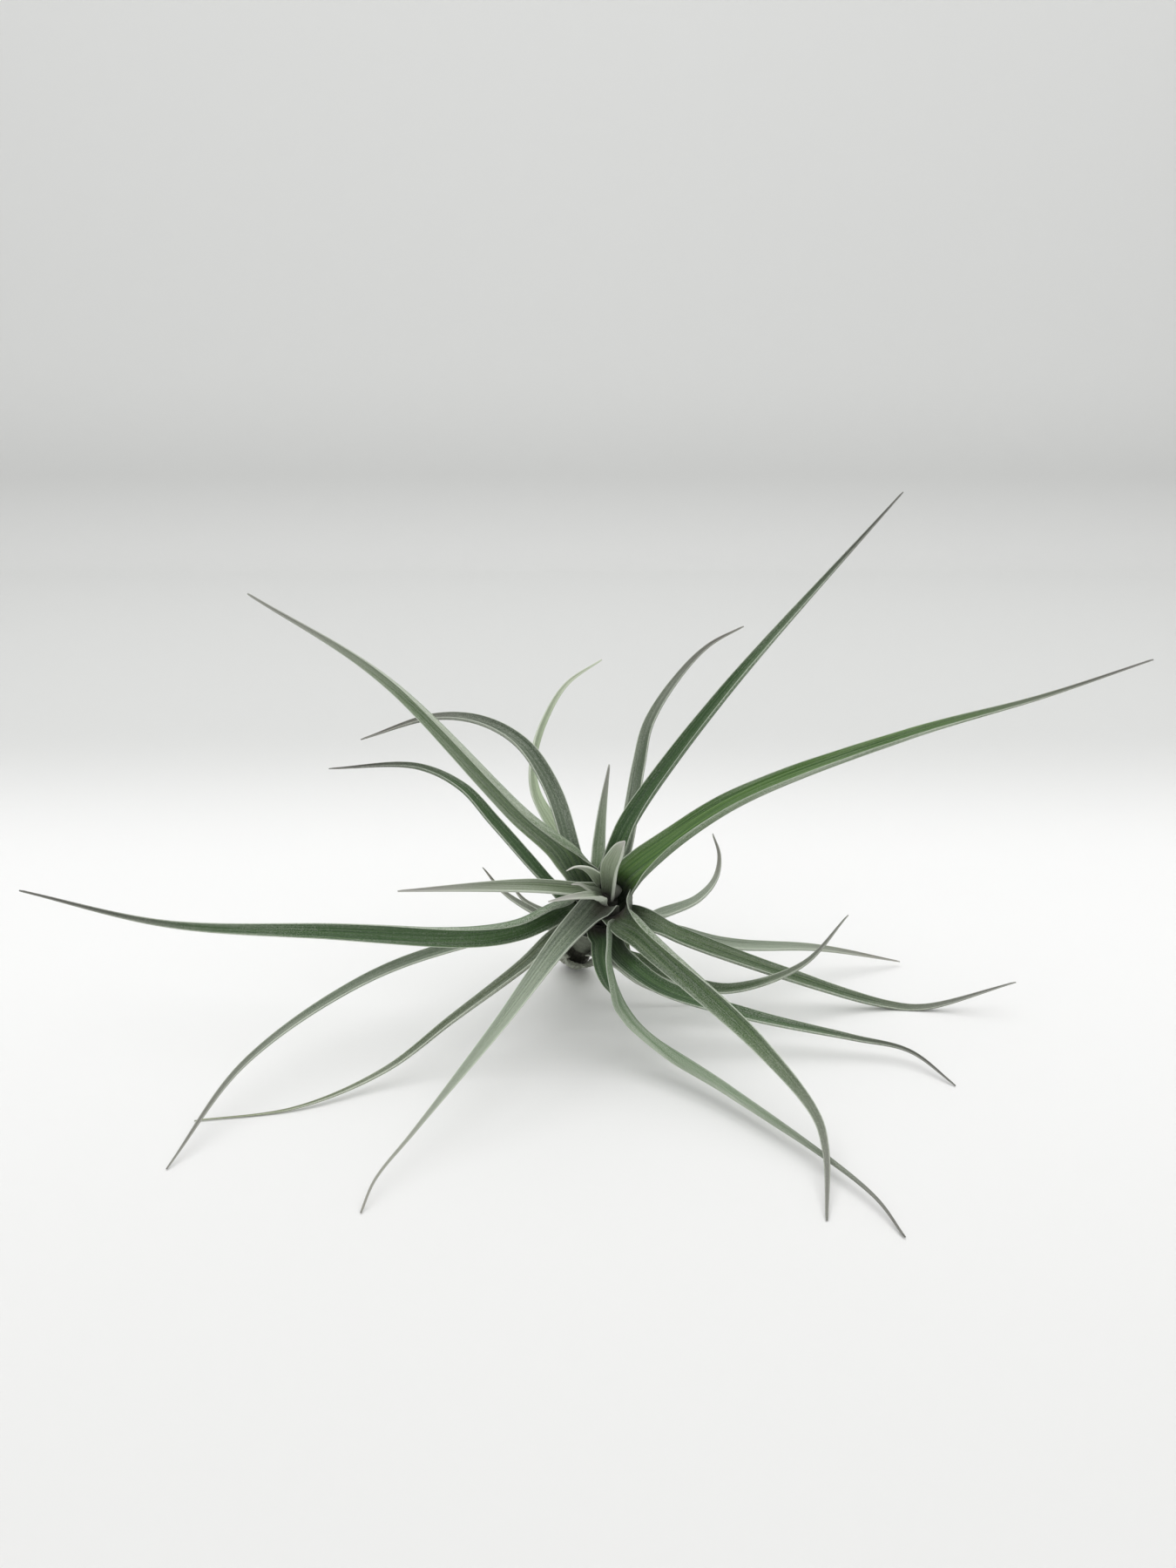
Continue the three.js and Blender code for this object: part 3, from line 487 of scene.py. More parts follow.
def blade_tree():
    tree, board, given = new_tree("channelled_blade", {
        "Points Round": POINTS_ROUND_BLADE, "Margin Thickness": MARGIN_THICKNESS * MM,
        "Ribs": RIBS, "Rib Height": RIB_HEIGHT * MM, "Margin Wave": MARGIN_WAVE * MM,
        "Ragged End": 0.0, "Seed": 0.0})
    rail = given.output("Geometry")
    stations = board.add("GeometryNodeAttributeDomainSize", {"component": "MESH"},
                         {"Geometry": rail}, "Point Count")
    tube, across, facing, way_up = unit_tube(board, given.output("Points Round"), stations - 1)
    station = board.maths("ROUND", way_up * (stations - 1))
    centre, opening, sideways = read_rail(board, rail, station, "FLOAT_VECTOR",
                                          ["middle", "opening", "sideways"])
    width, bend, rolled_bend, side, keel, along, share = read_rail(
        board, rail, station, "FLOAT",
        ["width", "bend", "rolled_bend", "rolled_side", "keel", "along", "share"])

    face = facing / board.maths("SQRT", facing * facing + MARGIN_ROUNDING)
    margin = board.maths("MINIMUM", given.output("Margin Thickness"), keel)
    thickness = keel + (margin - keel) * across * across
    ribs = board.cosine(across * given.output("Ribs") * math.pi)
    rib_fade = board.step(width, RIBS_FADE[0] * MM, RIBS_FADE[1] * MM)
    relief = ribs * given.output("Rib Height") * rib_fade * (1 - across ** 4)
    offset = face * thickness * 0.5 + relief

    # Each margin of each leaf has its own wave, and each sheath its own tear.
    seed = given.output("Seed")
    own_wave = board.vector(along * WAVES_IN_A_METRE, board.maths("SIGN", across) * 3 + seed, seed * 7)
    ripple = board.noise(own_wave, detail=1.0) - 0.5
    wave = ripple * given.output("Margin Wave") * across * across * rib_fade
    tear = board.noise(board.vector(across * TEARS_ACROSS, seed * 5, 0.0), detail=3.0) - TEAR_LEVEL
    tear = tear * given.output("Ragged End") * board.step(share, TEARS_FROM, 1.0)

    to_side, inward, angle = section_arc(board, across, width * 0.5, bend, rolled_bend, side)
    point = (centre + opening * (inward - offset * board.cosine(angle) + wave)
             + sideways * (to_side + offset * board.sine(angle)))
    point = point + board.maths("CROSS_PRODUCT", opening, sideways) * tear

    inner = 0.5 - 0.5 * board.clamp(facing * FACE_SHARPNESS, -1.0, 1.0)
    finish_tree(board, given, tube, point,
                {"across": across, "inner": inner, "along": along, "share": share,
                 "breadth": across * width * 0.5})
    return tree


# ---- a leaf's middle line, with the size and turn of its channel at each station ---------------------
def unit(vectors):
    return vectors / np.linalg.norm(vectors, axis=-1, keepdims=True)


def smooth(value, start, end):
    part = np.clip((value - start) / (end - start), 0, 1)
    return part * part * (3 - 2 * part)


STEM_AXIS = unit(CROWN - STEM_FOOT)
STEM_LENGTH = np.linalg.norm(CROWN - STEM_FOOT)
ACROSS_STEM = unit(np.cross([0, 0, 1], STEM_AXIS))
ABOVE_STEM = unit(np.cross(STEM_AXIS, ACROSS_STEM))


def direction_around(degrees):
    turn = math.radians(degrees)
    return ACROSS_STEM * math.cos(turn) + ABOVE_STEM * math.sin(turn)


def stem_radius_at(height):
    narrowing = smooth(height, STEM_NARROWS_FROM * STEM_LENGTH, STEM_LENGTH)
    flare = FOOT_FLARE * (1 - smooth(height, 0, FLARE_HEIGHT))
    return STEM_RADIUS + (STEM_TOP_RADIUS - STEM_RADIUS) * narrowing + flare


def out_from_stem(points):
    from_foot = points - STEM_FOOT
    return from_foot - (from_foot @ STEM_AXIS)[..., None] * STEM_AXIS


def through(points, per_span=80):
    """A centripetal Catmull-Rom curve through the points, as a fine polyline."""
    points = np.array(points, float)
    ends = [2 * points[0] - points[1], *points, 2 * points[-1] - points[-2]]
    line = []
    for a, b, c, d in zip(ends, ends[1:], ends[2:], ends[3:]):
        before, span, after = (np.linalg.norm(q - p) ** 0.5 for p, q in ((a, b), (b, c), (c, d)))
        leaving = ((b - a) / before - (c - a) / (before + span) + (c - b) / span) * span
        arriving = ((c - b) / span - (d - b) / (span + after) + (d - c) / after) * span
        t = np.linspace(0, 1, per_span, endpoint=False)[:, None]
        line.append(b + leaving * t + (3 * (c - b) - 2 * leaving - arriving) * t ** 2
                    + (2 * (b - c) + leaving + arriving) * t ** 3)
    return np.vstack([*line, points[-1]])


def middle_line(leaf):
    """Evenly spaced stations from foot to tip: place, way forward, share of the length; and length."""
    out = direction_around(leaf["around"])
    from_axis = stem_radius_at(leaf["foot"]) + SHEATH_SEAT
    foot = STEM_FOOT + STEM_AXIS * leaf["foot"] + out * from_axis
    slope = math.radians(YOUNG_SHEATH_SLOPE if leaf.get("spindle") else SHEATH_SLOPE)
    mouth = np.array(leaf["path"][0], float)
    reach = min(SHEATH_RISE, SHEATH_RISE_SHARE * np.linalg.norm(mouth - foot))
    sheath = foot + (STEM_AXIS * math.cos(slope) + out * math.sin(slope)) * reach
    fine = through([foot, sheath, *leaf["path"]])
    run = np.concatenate([[0], np.cumsum(np.linalg.norm(np.diff(fine, axis=0), axis=1))])
    count = max(LEAST_STATIONS, round(run[-1] / STATION_SPACING) + 1)
    share = np.linspace(0, 1, count)
    points = np.stack([np.interp(share * run[-1], run, fine[:, k]) for k in range(3)], 1)
    return points, unit(np.gradient(points, axis=0)), share, run[-1]


def openings(leaf, points, forward, share, length):
    """The way the channel opens at each station: towards the stem, then as the leaf's list says."""
    stations = [(at, unit(np.array(way, float))) for at, *way in leaf["opens"]]
    first_at, first_way = stations[0]
    sheath_end = min(first_at / 2, SHEATH_FACES_STEM / length)
    inward = -unit(out_from_stem(points))
    blend = smooth(share, sheath_end, first_at)[:, None]
    way = inward * (1 - blend) + first_way * blend
    for (start, before), (end, after) in zip(stations, stations[1:]):
        part = np.clip((share - start) / (end - start), 0, 1)[:, None]
        way = np.where(share[:, None] > start, before * (1 - part) + after * part, way)
    return unit(way - (way * forward).sum(1, keepdims=True) * forward)


def taper_at(leaf, share):
    if leaf.get("torn"):
        return np.interp(share, *zip(*TORN_TAPER))
    if leaf.get("spindle"):
        return np.interp(share, *zip(*SPINDLE_TAPER))
    slim, full = (np.interp(share, *zip(*table)) for table in (SLIM_TAPER, FULL_TAPER))
    return slim + (full - slim) * leaf.get("full", 0)


def blade_width(leaf, share):
    """The blade's width at each station, evened out where the taper's table turns."""
    width = np.pad(leaf["width"] * taper_at(leaf, share), SOFTENED_STATIONS // 2, mode="edge")
    evened = np.convolve(width, np.ones(SOFTENED_STATIONS) / SOFTENED_STATIONS, mode="valid")
    return np.maximum(evened, TIP_WIDTH)


def section_bends(leaf, points, forward, share, formed, width, keel):
    """How far each half of the section bends in, and at what rate a rolled margin does."""
    hugging = width * np.abs(forward @ STEM_AXIS) / np.linalg.norm(out_from_stem(points), axis=1)
    hugging = np.minimum(hugging, math.radians(MOST_HUGGING))
    channel = math.radians(leaf["fold"]) * (1 + (MARGIN_CURL - 1) * share)
    wanted = hugging + (channel - hugging) * formed
    tightest = width / 2 / (TIGHTEST_CURL * keel)
    bend = np.maximum(math.radians(LEAST_FOLD) / 2, np.minimum(wanted / 2, tightest))
    unroll = leaf.get("unroll", 1)
    unrolled = smooth(share, unroll - ROLL_FADES, unroll)
    roll = math.radians(abs(leaf.get("roll", 0))) * formed * (1 - unrolled)
    return bend, np.minimum(bend + roll / (1 - ROLL_STARTS), np.maximum(bend, tightest))


def section_depth(bend, rolled_bend):
    """Mean height of the two margins over the keel, for a half width of 1."""
    start = bend * ROLL_STARTS
    end = start + rolled_bend * (1 - ROLL_STARTS)
    rolled = (1 - np.cos(start)) / bend + (np.cos(start) - np.cos(end)) / rolled_bend
    return ((1 - np.cos(bend)) / bend + rolled) / 2


def rail_mesh(name, vectors, numbers):
    """A chain of the middle line's points, with the vectors and numbers as its attributes."""
    rail = bpy.data.meshes.new(name)
    points = vectors["middle"].tolist()
    rail.from_pydata(points, [(i, i + 1) for i in range(len(points) - 1)], [])
    for title, values in vectors.items():
        stored = rail.attributes.new(title, "FLOAT_VECTOR", "POINT")
        stored.data.foreach_set("vector", values.astype(np.float32).ravel())
    for title, values in numbers.items():
        stored = rail.attributes.new(title, "FLOAT", "POINT")
        stored.data.foreach_set("value", values.astype(np.float32))
    return rail


def rail_of(leaf):
    """The leaf's middle line as a mesh, which holds the sizes that the blade tree reads."""
    points, forward, share, length = middle_line(leaf)
    opening = openings(leaf, points, forward, share, length)
    along = share * length
    formed = smooth(along, CHANNEL_STARTS, CHANNEL_FORMED)
    width = blade_width(leaf, share)
    keel = KEEL_THICKNESS + (TIP_THICKNESS - KEEL_THICKNESS) * smooth(share, THINS_FROM, 1)
    bend, rolled_bend = section_bends(leaf, points, forward, share, formed, width, keel)
    depth = width / 2 * section_depth(bend, rolled_bend)
    middle = points - opening * (depth / 2 * formed)[:, None]
    if not leaf.get("torn"):
        width = width * np.where(share < 1, 1, LAST_WIDTH)
    side = np.full(len(share), math.copysign(1, leaf.get("roll", 1)))
    return rail_mesh(
        leaf["name"] + "_middle_line",
        {"middle": middle * MM, "opening": opening, "sideways": np.cross(forward, opening)},
        {"width": width * MM, "bend": bend, "rolled_bend": rolled_bend, "rolled_side": side,
         "keel": keel * MM, "along": along * MM, "share": share})


# ---- finishes --------------------------------------------------------------------------------------
# For each kind of leaf: the inner face's deep and light green, the outer face's ground, the colour
# of the tip, and how thickly pale scurf covers the inner and the outer face.
LEAF_FINISHES = {
    "green": dict(deep=(0.036, 0.084, 0.026), light=(0.13, 0.205, 0.08), outer=(0.13, 0.185, 0.105),
                  tip=(0.24, 0.24, 0.215), scurf=(0.2, 0.2)),
    "bright": dict(deep=(0.035, 0.10, 0.016), light=(0.12, 0.235, 0.05), outer=(0.13, 0.185, 0.105),
                   tip=(0.16, 0.15, 0.14), scurf=(-0.1, 0.2)),
    "dark": dict(deep=(0.024, 0.068, 0.018), light=(0.08, 0.16, 0.052), outer=(0.12, 0.185, 0.10),
                 tip=(0.11, 0.105, 0.095), scurf=(-0.05, 0.15)),
    "silver": dict(deep=(0.048, 0.084, 0.042), light=(0.125, 0.175, 0.10), outer=(0.13, 0.175, 0.11),
                   tip=(0.20, 0.19, 0.17), scurf=(0.4, 0.55)),
    "pale": dict(deep=(0.17, 0.23, 0.12), light=(0.29, 0.39, 0.21), outer=(0.33, 0.40, 0.27),
                 tip=(0.42, 0.46, 0.35), scurf=(0.4, 0.7)),
    "olive": dict(deep=(0.040, 0.072, 0.030), light=(0.12, 0.155, 0.075), outer=(0.13, 0.155, 0.095),
                  tip=(0.24, 0.27, 0.15), scurf=(0.3, 0.35)),
    "young": dict(deep=(0.13, 0.185, 0.09), light=(0.26, 0.33, 0.20), outer=(0.33, 0.375, 0.29),
                  tip=(0.44, 0.43, 0.40), scurf=(0.45, 0.8)),
    "old": dict(deep=(0.06, 0.078, 0.048), light=(0.14, 0.16, 0.11), outer=(0.18, 0.20, 0.15),
                tip=(0.15, 0.13, 0.11), scurf=(0.5, 0.7)),
}
# How light each leaf is beside others of its kind, beyond the shares of its length in TONE_STARTS:
# partly its own colour, partly painted light on leaves in shade. A lighter one also bears more scurf.
LEAF_TONES = {
    "leaf_crown_small_hooked": 1.6, "leaf_crown_young_upright": 1.5, "leaf_left_young": 0.75,
    "leaf_lower_left_broad": 1.8, "leaf_upper_right_long": 0.85, "leaf_left_long": 1.1,
    "leaf_lower_middle_table": 1.3, "leaf_right_low_long": 0.85, "leaf_upper_left_arched": 0.75,
    "leaf_right_low_pale": 1.7, "leaf_left_narrow_high": 0.85, "leaf_top_right_curved": 0.8,
    "leaf_top_short": 1.35, "leaf_upper_left_broad": 1.3, "leaf_top_pale_twisted": 1.4,
    "leaf_back_right_curled": 1.35,
}
TONE_STARTS = (0.08, 0.38)
TONE_IN_COLOUR = 0.6
TIP_STARTS = (0.55, 0.98)  # shares of the length over which the colour of the tip takes over

# Patterns of noise: how many grains in a millimetre across and along, and how fine they are. Veins,
# fibres, rings and the sheaths' mottle count theirs across the section or round the stem instead.
VEINS = dict(across=13, along=0.02, detail=3.0, roughness=0.65)
PATCHES = dict(across=0.25, along=0.07, detail=2.0)
STRIPES = dict(across=1.6, along=0.03, detail=2.0)
SCALES = dict(across=9.5, along=6.5, detail=1.0, roughness=0.8)
STEM_FIBRES = dict(across=9, along=0.35, detail=4.0, roughness=0.65)
STEM_RINGS = dict(across=0.5, along=1.7, detail=2.0)
SHEATH_FIBRES = dict(across=8, along=0.25, detail=4.0, roughness=0.6)
SHEATH_MOTTLE = dict(across=1, along=0.5, detail=2.0)

VEIN_CONTRAST = (0.36, 0.66)  # noise below the first is a deep vein, over the second a light one

# What thickens the scurf: nearness to the tip and to the margins, patches, stripes and tone.
SCURF_TO_TIP = 0.3
SCURF_TO_MARGIN = 0.5
SCURF_IN_PATCHES = 0.6
SCURF_IN_STRIPES = 1.6
SCURF_BY_TONE = 0.8
SCURF_WEIGHT = 0.26  # how much all of these count beside the noise of the single scales
SCURF_CONTRAST = (0.53, 0.80)
SCURF_COVERS = 0.58  # how far a scale hides the green under it on the outer face
INNER_COVERS_LESS = 0.22
SCURF_PALE = (0.76, 0.80, 0.70)
MARGIN_PALE = (0.72, 0.78, 0.66)
MARGIN_EDGE = (0.96, 0.995)  # shares of the half width
MARGIN_COVERS = 0.5

# Roughness of a bare inner face, and what scurf and the outer face add to it.
BARE_ROUGHNESS = 0.42
SCURF_ROUGHNESS = 0.22
OUTER_ROUGHNESS = 0.12

# The crown's hollow, in metres. Towards it, from and to these distances in millimetres, leaves
# take painted shade and turn a dark brown that is partly their bases' own colour, partly painted shade.
CRATER = (0.006, -0.030, 0.0266)
CRATER_PAINTED_SHADE = (15, 6)
CRATER_EDGE = (8.0, 4.5)
CRATER_BROWN_AND_SHADE = (0.045, 0.038, 0.028)

# Where sheaths have grown over the stem, in millimetres up it: the lower and the upper edge.
GROWN_OVER_FROM = (11.5, 14.5)
GROWN_OVER_TO = (30, 22)
GROWN_OVER = (0.17, 0.19, 0.145)
# The stem's very dark colours are partly its own, partly painted shade from the leaves over it.
STEM_COLOURS_AND_SHADE = [(0.25, (0.020, 0.020, 0.015)), (0.5, (0.065, 0.066, 0.050)), (0.75, (0.18, 0.185, 0.15))]
# The sheaths' palest colours are partly their own papery colour, partly painted light bounced up from
# the table.
SHEATH_COLOURS_AND_BOUNCE = [(0.3, (0.13, 0.135, 0.105)), (0.5, (0.34, 0.36, 0.295)), (0.7, (0.60, 0.63, 0.54))]

# Relief that is only seen, in millimetres.
LEAF_BUMP = 0.05
STEM_BUMP = 0.25
SHEATH_BUMP = 0.2


def new_finish(name):
    material = bpy.data.materials.new(name)
    material.use_nodes = True
    material.node_tree.nodes.clear()
    return material, Board(material.node_tree)


def blend_colours(board, share, low, high):
    return board.add("ShaderNodeMix", {"data_type": "RGBA"}, {0: share, 6: low, 7: high}, 2)


def attribute(board, name):
    return board.add("ShaderNodeAttribute", {"attribute_name": name}, None, "Fac")


def streaked(board, pattern, across, along, seed):
    place = board.vector(across * pattern["across"], along * pattern["along"], seed)
    return board.noise(place, pattern["detail"], pattern.get("roughness", 0.5))


def show(board, sockets, height, relief):
    normal = board.add("ShaderNodeBump", None,
                       {"Height": height, "Strength": 1.0, "Distance": relief * MM})
    shader = board.add("ShaderNodeBsdfPrincipled", None, {**sockets, "Normal": normal})
    board.add("ShaderNodeOutputMaterial", None, {"Surface": shader})


def leaf_finish(name, look, tone, seed):
    material, board = new_finish(name)
    across = attribute(board, "across")
    inner = attribute(board, "inner")
    share = attribute(board, "share")
    along = attribute(board, "along") / MM
    breadth = attribute(board, "breadth") / MM
    from_keel = board.maths("ABSOLUTE", across)

    veins = board.step(streaked(board, VEINS, across, along, seed), *VEIN_CONTRAST)
    patches = streaked(board, PATCHES, breadth, along, seed + 5.0) - 0.5
    stripes = streaked(board, STRIPES, breadth, along, seed + 9.0) - 0.5
    scales = streaked(board, SCALES, breadth, along, seed * 3.1)

    lighter = (tone - 1) * board.step(share, *TONE_STARTS)
    toward_tip = board.step(share + patches * 0.1, *TIP_STARTS)
    inner_scurf, outer_scurf = look["scurf"]
    extra = (board.step(share, 0.2, 0.7) * SCURF_TO_TIP + from_keel ** 3 * SCURF_TO_MARGIN
             + patches * SCURF_IN_PATCHES + stripes * SCURF_IN_STRIPES)
    covered = outer_scurf + (inner_scurf - outer_scurf) * inner + extra + lighter * SCURF_BY_TONE
    scurf = board.step(scales + covered * SCURF_WEIGHT, *SCURF_CONTRAST) * (1 - toward_tip * 0.65)

    green = blend_colours(board, veins, look["deep"], look["light"])
    ground = blend_colours(board, veins * 0.5, look["outer"], look["light"])
    colour = blend_colours(board, inner, ground, green)
    colour = blend_colours(board, toward_tip, colour, look["tip"])
    # partly the leaf's own tone, partly painted light that lightens leaves lying in shade
    colour = colour * (1 + lighter * TONE_IN_COLOUR)
    hidden = scurf * (SCURF_COVERS - INNER_COVERS_LESS * inner)
    colour = blend_colours(board, hidden, colour, SCURF_PALE)

    place = board.add("ShaderNodeTexCoord", None, None, "Object")
    from_crater = board.add("ShaderNodeVectorMath", {"operation": "DISTANCE"},
                            {0: place, 1: CRATER}, "Value") / MM
    in_crater = board.step(from_crater + patches * 2, *CRATER_EDGE)
    # painted shade: leaves darken towards the crown's hollow
    colour = colour * (1 - board.step(from_crater, *CRATER_PAINTED_SHADE) * 0.4)
    # the dark brown in the hollow is partly the leaf bases' own colour, partly painted shade
    colour = blend_colours(board, in_crater * (0.7 + 0.25 * inner), colour, CRATER_BROWN_AND_SHADE)
    edge = board.step(from_keel, *MARGIN_EDGE) * (1 - in_crater * 0.7) * (1 - toward_tip * 0.8)
    colour = blend_colours(board, edge * MARGIN_COVERS, colour, MARGIN_PALE)

    roughness = BARE_ROUGHNESS + SCURF_ROUGHNESS * scurf + OUTER_ROUGHNESS * (1 - inner)
    show(board, {"Base Color": colour, "Roughness": roughness, "Specular IOR Level": 0.35,
                 "Sheen Weight": 0.1, "Sheen Roughness": 0.5}, veins * 0.4 + scurf * 0.6, LEAF_BUMP)
    return material


def stem_finish():
    material, board = new_finish("fibrous_stem")
    around = attribute(board, "around")
    up = attribute(board, "up") / MM
    fibre = streaked(board, STEM_FIBRES, around, up, 1.0)
    rings = streaked(board, STEM_RINGS, around, up, 4.0)
    # very dark stem: partly its own colour, partly painted shade
    colour = board.add("ShaderNodeValToRGB", {"stops": STEM_COLOURS_AND_SHADE}, {"Fac": fibre * 0.7 + rings * 0.3})
    grown_over = board.step(up + rings * 3, *GROWN_OVER_FROM) * board.step(up, *GROWN_OVER_TO)
    colour = blend_colours(board, grown_over * 0.85, colour, GROWN_OVER)
    show(board, {"Base Color": colour, "Roughness": 0.75 + 0.15 * fibre}, fibre, STEM_BUMP)
    return material


def sheath_finish():
    material, board = new_finish("papery_sheath")
    across = attribute(board, "across")
    along = attribute(board, "along") / MM
    fibre = streaked(board, SHEATH_FIBRES, across, along, 2.0)
    mottle = streaked(board, SHEATH_MOTTLE, across, along, 8.0)
    # partly the sheath's own colour, partly painted light bounced from the table
    colour = board.add("ShaderNodeValToRGB", {"stops": SHEATH_COLOURS_AND_BOUNCE},
                       {"Fac": fibre * 0.6 + mottle * 0.4})
    show(board, {"Base Color": colour, "Roughness": 0.7 + 0.2 * mottle}, fibre, SHEATH_BUMP)
    return material


# ---- the stem --------------------------------------------------------------------------------------
def stem_tree():
    tree, board, given = new_tree("ringed_stem", {
        "Length": STEM_LENGTH * MM, "Radius": STEM_RADIUS * MM, "Top Radius": STEM_TOP_RADIUS * MM,
        "Foot Flare": FOOT_FLARE * MM, "Scar Spacing": SCAR_SPACING * MM,
        "Scar Relief": SCAR_RELIEF * MM, "Fibre Relief": FIBRE_RELIEF * MM})
    tube, cosine, sine, share = unit_tube(board, POINTS_ROUND_STEM, STEM_STRETCHES)
    height = share * given.output("Length")
    narrowing = board.step(share, STEM_NARROWS_FROM, 1.0)
    flare = board.step(height, FLARE_HEIGHT * MM, 0.0)

    slant = board.noise(board.vector(cosine, sine, height * SLANTS_IN_A_METRE), detail=1.0) - 0.5
    phase = (height - FIRST_SCAR * MM + slant * SCAR_SLANT * MM) / given.output("Scar Spacing")
    from_ring = board.maths("ABSOLUTE", phase - board.maths("ROUND", phase))
    scar = board.step(from_ring, SCAR_BREADTH, 0.0) * board.step(share, *SCARS_FADE)
    grain = board.vector(cosine * FIBRES_ROUND, sine * FIBRES_ROUND, height * FIBRES_IN_A_METRE)
    fibres = board.noise(grain, detail=3.0, roughness=0.6) - FIBRE_LEVEL

    radius = given.output("Radius")
    radius = (radius + (given.output("Top Radius") - radius) * narrowing
              + given.output("Foot Flare") * flare + given.output("Scar Relief") * scar
              + given.output("Fibre Relief") * fibres)
    radius = radius - board.step(height, CUT_EDGE_HEIGHT * MM, 0.0) * (CUT_EDGE_INSET * MM)
    point = (tuple(STEM_FOOT * MM) + board.vector(*STEM_AXIS) * height
             + board.vector(*ACROSS_STEM) * (cosine * radius)
             + board.vector(*ABOVE_STEM) * (sine * radius))
    finish_tree(board, given, tube, point,
                {"around": board.maths("ARCTAN2", sine, cosine), "up": height})
    return tree


# ---- the pieces ------------------------------------------------------------------------------------
def dress(piece, node):
    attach(piece, "root")
    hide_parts(node)


def grow_stem():
    start = bpy.data.meshes.new("stem_start")
    dress(grown("fibrous_stem", start, stem_tree(), {"Material": stem_finish()}), "stem")


def grow_leaves():
    blade = blade_tree()
    paper = sheath_finish()
    for number, leaf in enumerate(LEAVES):
        seed = 1.7 * number
        if leaf.get("torn"):
            values = {"Material": paper, "Ribs": TORN_RIBS, "Ragged End": TORN_LENGTH * MM}
        else:
            look = LEAF_FINISHES[leaf["finish"]]
            tone = LEAF_TONES.get(leaf["name"], 1)
            values = {"Material": leaf_finish(leaf["name"] + "_finish", look, tone, seed)}
        piece = grown(leaf["name"] + "_blade", rail_of(leaf), blade, {**values, "Seed": seed})
        dress(piece, leaf["name"])


grow_stem()
grow_leaves()

# ---- the table, the light and the camera, in metres ------------------------------------------------
SHEET_HALF_WIDTH = 1.6
SHEET_FRONT = -1.0
SHEET_BACK = 0.60
SHEET_CURVE = 0.06  # radius of the sweep at its back
SHEET_CURVE_STEPS = 16
SHEET_TOP = 1.6

# The table's colour carries painted light: brightest just behind the plant, falling off to a grey
# distance, and the sweep lighter again. Each pair tells where one colour gives way to the next.
TABLE_FRONT = (0.77, 0.77, 0.76)
TABLE_PAINTED_LIGHT = (0.90, 0.90, 0.895)
TABLE_PAINTED_FALLOFF = (0.69, 0.695, 0.685)
SWEEP_PAINTED_LIGHT = (0.78, 0.785, 0.775)
PAINTED_LIGHT_RISES = (-0.22, 0.04)
PAINTED_LIGHT_FADES = (0.07, 0.22)
SWEEP_HEIGHTS = (0.02, 0.14)
SHEET_MOTTLE = 0.02  # how far those borders wander
SHEET_BUMP = 0.01  # in millimetres, as for the other finishes

WORLD_LIGHT = 0.475
CAMERA_PLACE = (0.0027, -0.2816, 0.1367)
CAMERA_LOOKS_DOWN = 18
CAMERA_SENSOR_HEIGHT = 36
CAMERA_LENS = 30


def sheet_finish():
    material, board = new_finish("pale_sheet")
    place = board.add("ShaderNodeTexCoord", None, None, "Object")
    mottle = board.noise(place, detail=3.0, scale=3.0)
    split = board.split(place)
    away = split.output("Y") + mottle * SHEET_MOTTLE
    # painted light: the table grows lighter behind the plant, then fades to grey in the distance
    colour = blend_colours(board, board.step(away, *PAINTED_LIGHT_RISES), TABLE_FRONT, TABLE_PAINTED_LIGHT)
    colour = blend_colours(board, board.step(away, *PAINTED_LIGHT_FADES), colour, TABLE_PAINTED_FALLOFF)
    raised = board.step(split.output("Z"), *SWEEP_HEIGHTS)
    # painted light: the sweep is lighter than the distant table
    colour = blend_colours(board, raised, colour, SWEEP_PAINTED_LIGHT)
    show(board, {"Base Color": colour, "Roughness": 0.9}, mottle, SHEET_BUMP)
    return material


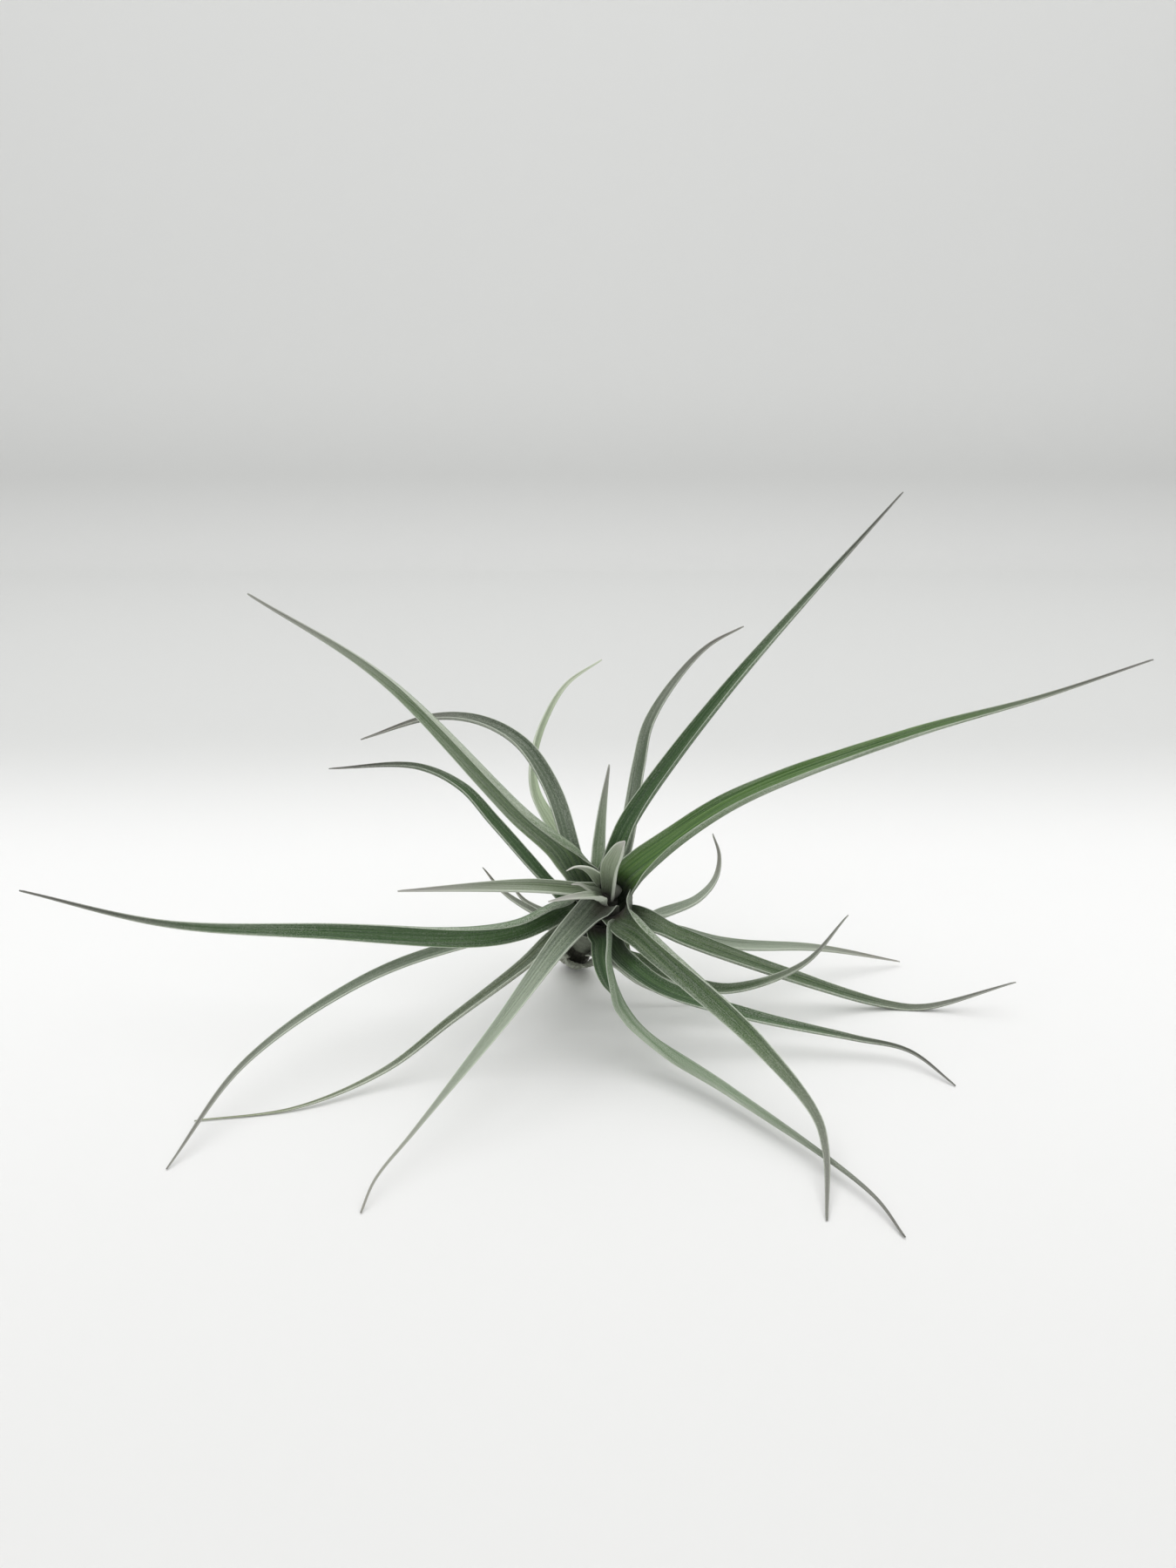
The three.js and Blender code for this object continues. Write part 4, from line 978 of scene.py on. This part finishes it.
def studio_sheet():
    """A pale sheet that lies under the plant and sweeps up behind it."""
    line = [(SHEET_FRONT, 0.0), (SHEET_BACK, 0.0)]
    for i in range(1, SHEET_CURVE_STEPS + 1):
        turn = math.radians(90 * i / SHEET_CURVE_STEPS)
        line.append((SHEET_BACK + SHEET_CURVE * math.sin(turn), SHEET_CURVE * (1 - math.cos(turn))))
    line.append((SHEET_BACK + SHEET_CURVE, SHEET_TOP))
    points = [(x, y, z) for y, z in line for x in (-SHEET_HALF_WIDTH, SHEET_HALF_WIDTH)]
    faces = [(2 * i, 2 * i + 1, 2 * i + 3, 2 * i + 2) for i in range(len(line) - 1)]
    mesh = bpy.data.meshes.new("studio_sheet")
    mesh.from_pydata(points, [], faces)
    mesh.shade_smooth()
    mesh.materials.append(sheet_finish())
    sheet = bpy.data.objects.new("studio_sheet", mesh)
    bpy.context.scene.collection.objects.link(sheet)
    sheet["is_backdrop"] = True


def soft_light(name, place, aim, size, power):
    lamp = bpy.data.lights.new(name, "AREA")
    lamp.shape = "DISK"
    lamp.size = size
    lamp.energy = power
    holder = bpy.data.objects.new(name, lamp)
    holder.location = place
    holder.rotation_euler = (Vector(aim) - Vector(place)).to_track_quat("-Z", "Y").to_euler()
    bpy.context.scene.collection.objects.link(holder)


def studio_air():
    world = bpy.data.worlds.new("studio_air")
    world.use_nodes = True
    background = world.node_tree.nodes["Background"]
    background.inputs["Color"].default_value = (1, 1, 1, 1)
    background.inputs["Strength"].default_value = WORLD_LIGHT
    bpy.context.scene.world = world


def set_camera():
    camera_data = bpy.data.cameras.new("camera")
    camera_data.sensor_fit = "VERTICAL"
    camera_data.sensor_height = CAMERA_SENSOR_HEIGHT
    camera_data.lens = CAMERA_LENS
    camera_data.clip_start = 0.01
    camera = bpy.data.objects.new("camera", camera_data)
    camera.location = CAMERA_PLACE
    camera.rotation_euler = (math.radians(90 - CAMERA_LOOKS_DOWN), 0, 0)
    bpy.context.scene.collection.objects.link(camera)
    bpy.context.scene.camera = camera
    bpy.context.scene.view_settings.view_transform = "Standard"


studio_sheet()
soft_light("overhead", place=(0.03, 0.08, 1.1), aim=(0, 0.08, 0), size=1.8, power=11.4)
soft_light("front_fill", place=(-0.5, -1.2, 0.7), aim=(0, 0, 0.03), size=1.0, power=2.2)
studio_air()
set_camera()

boxes = {"cad": cad_box, "visual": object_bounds()}
boxes = {name: [list(corner) for corner in box] for name, box in boxes.items()}
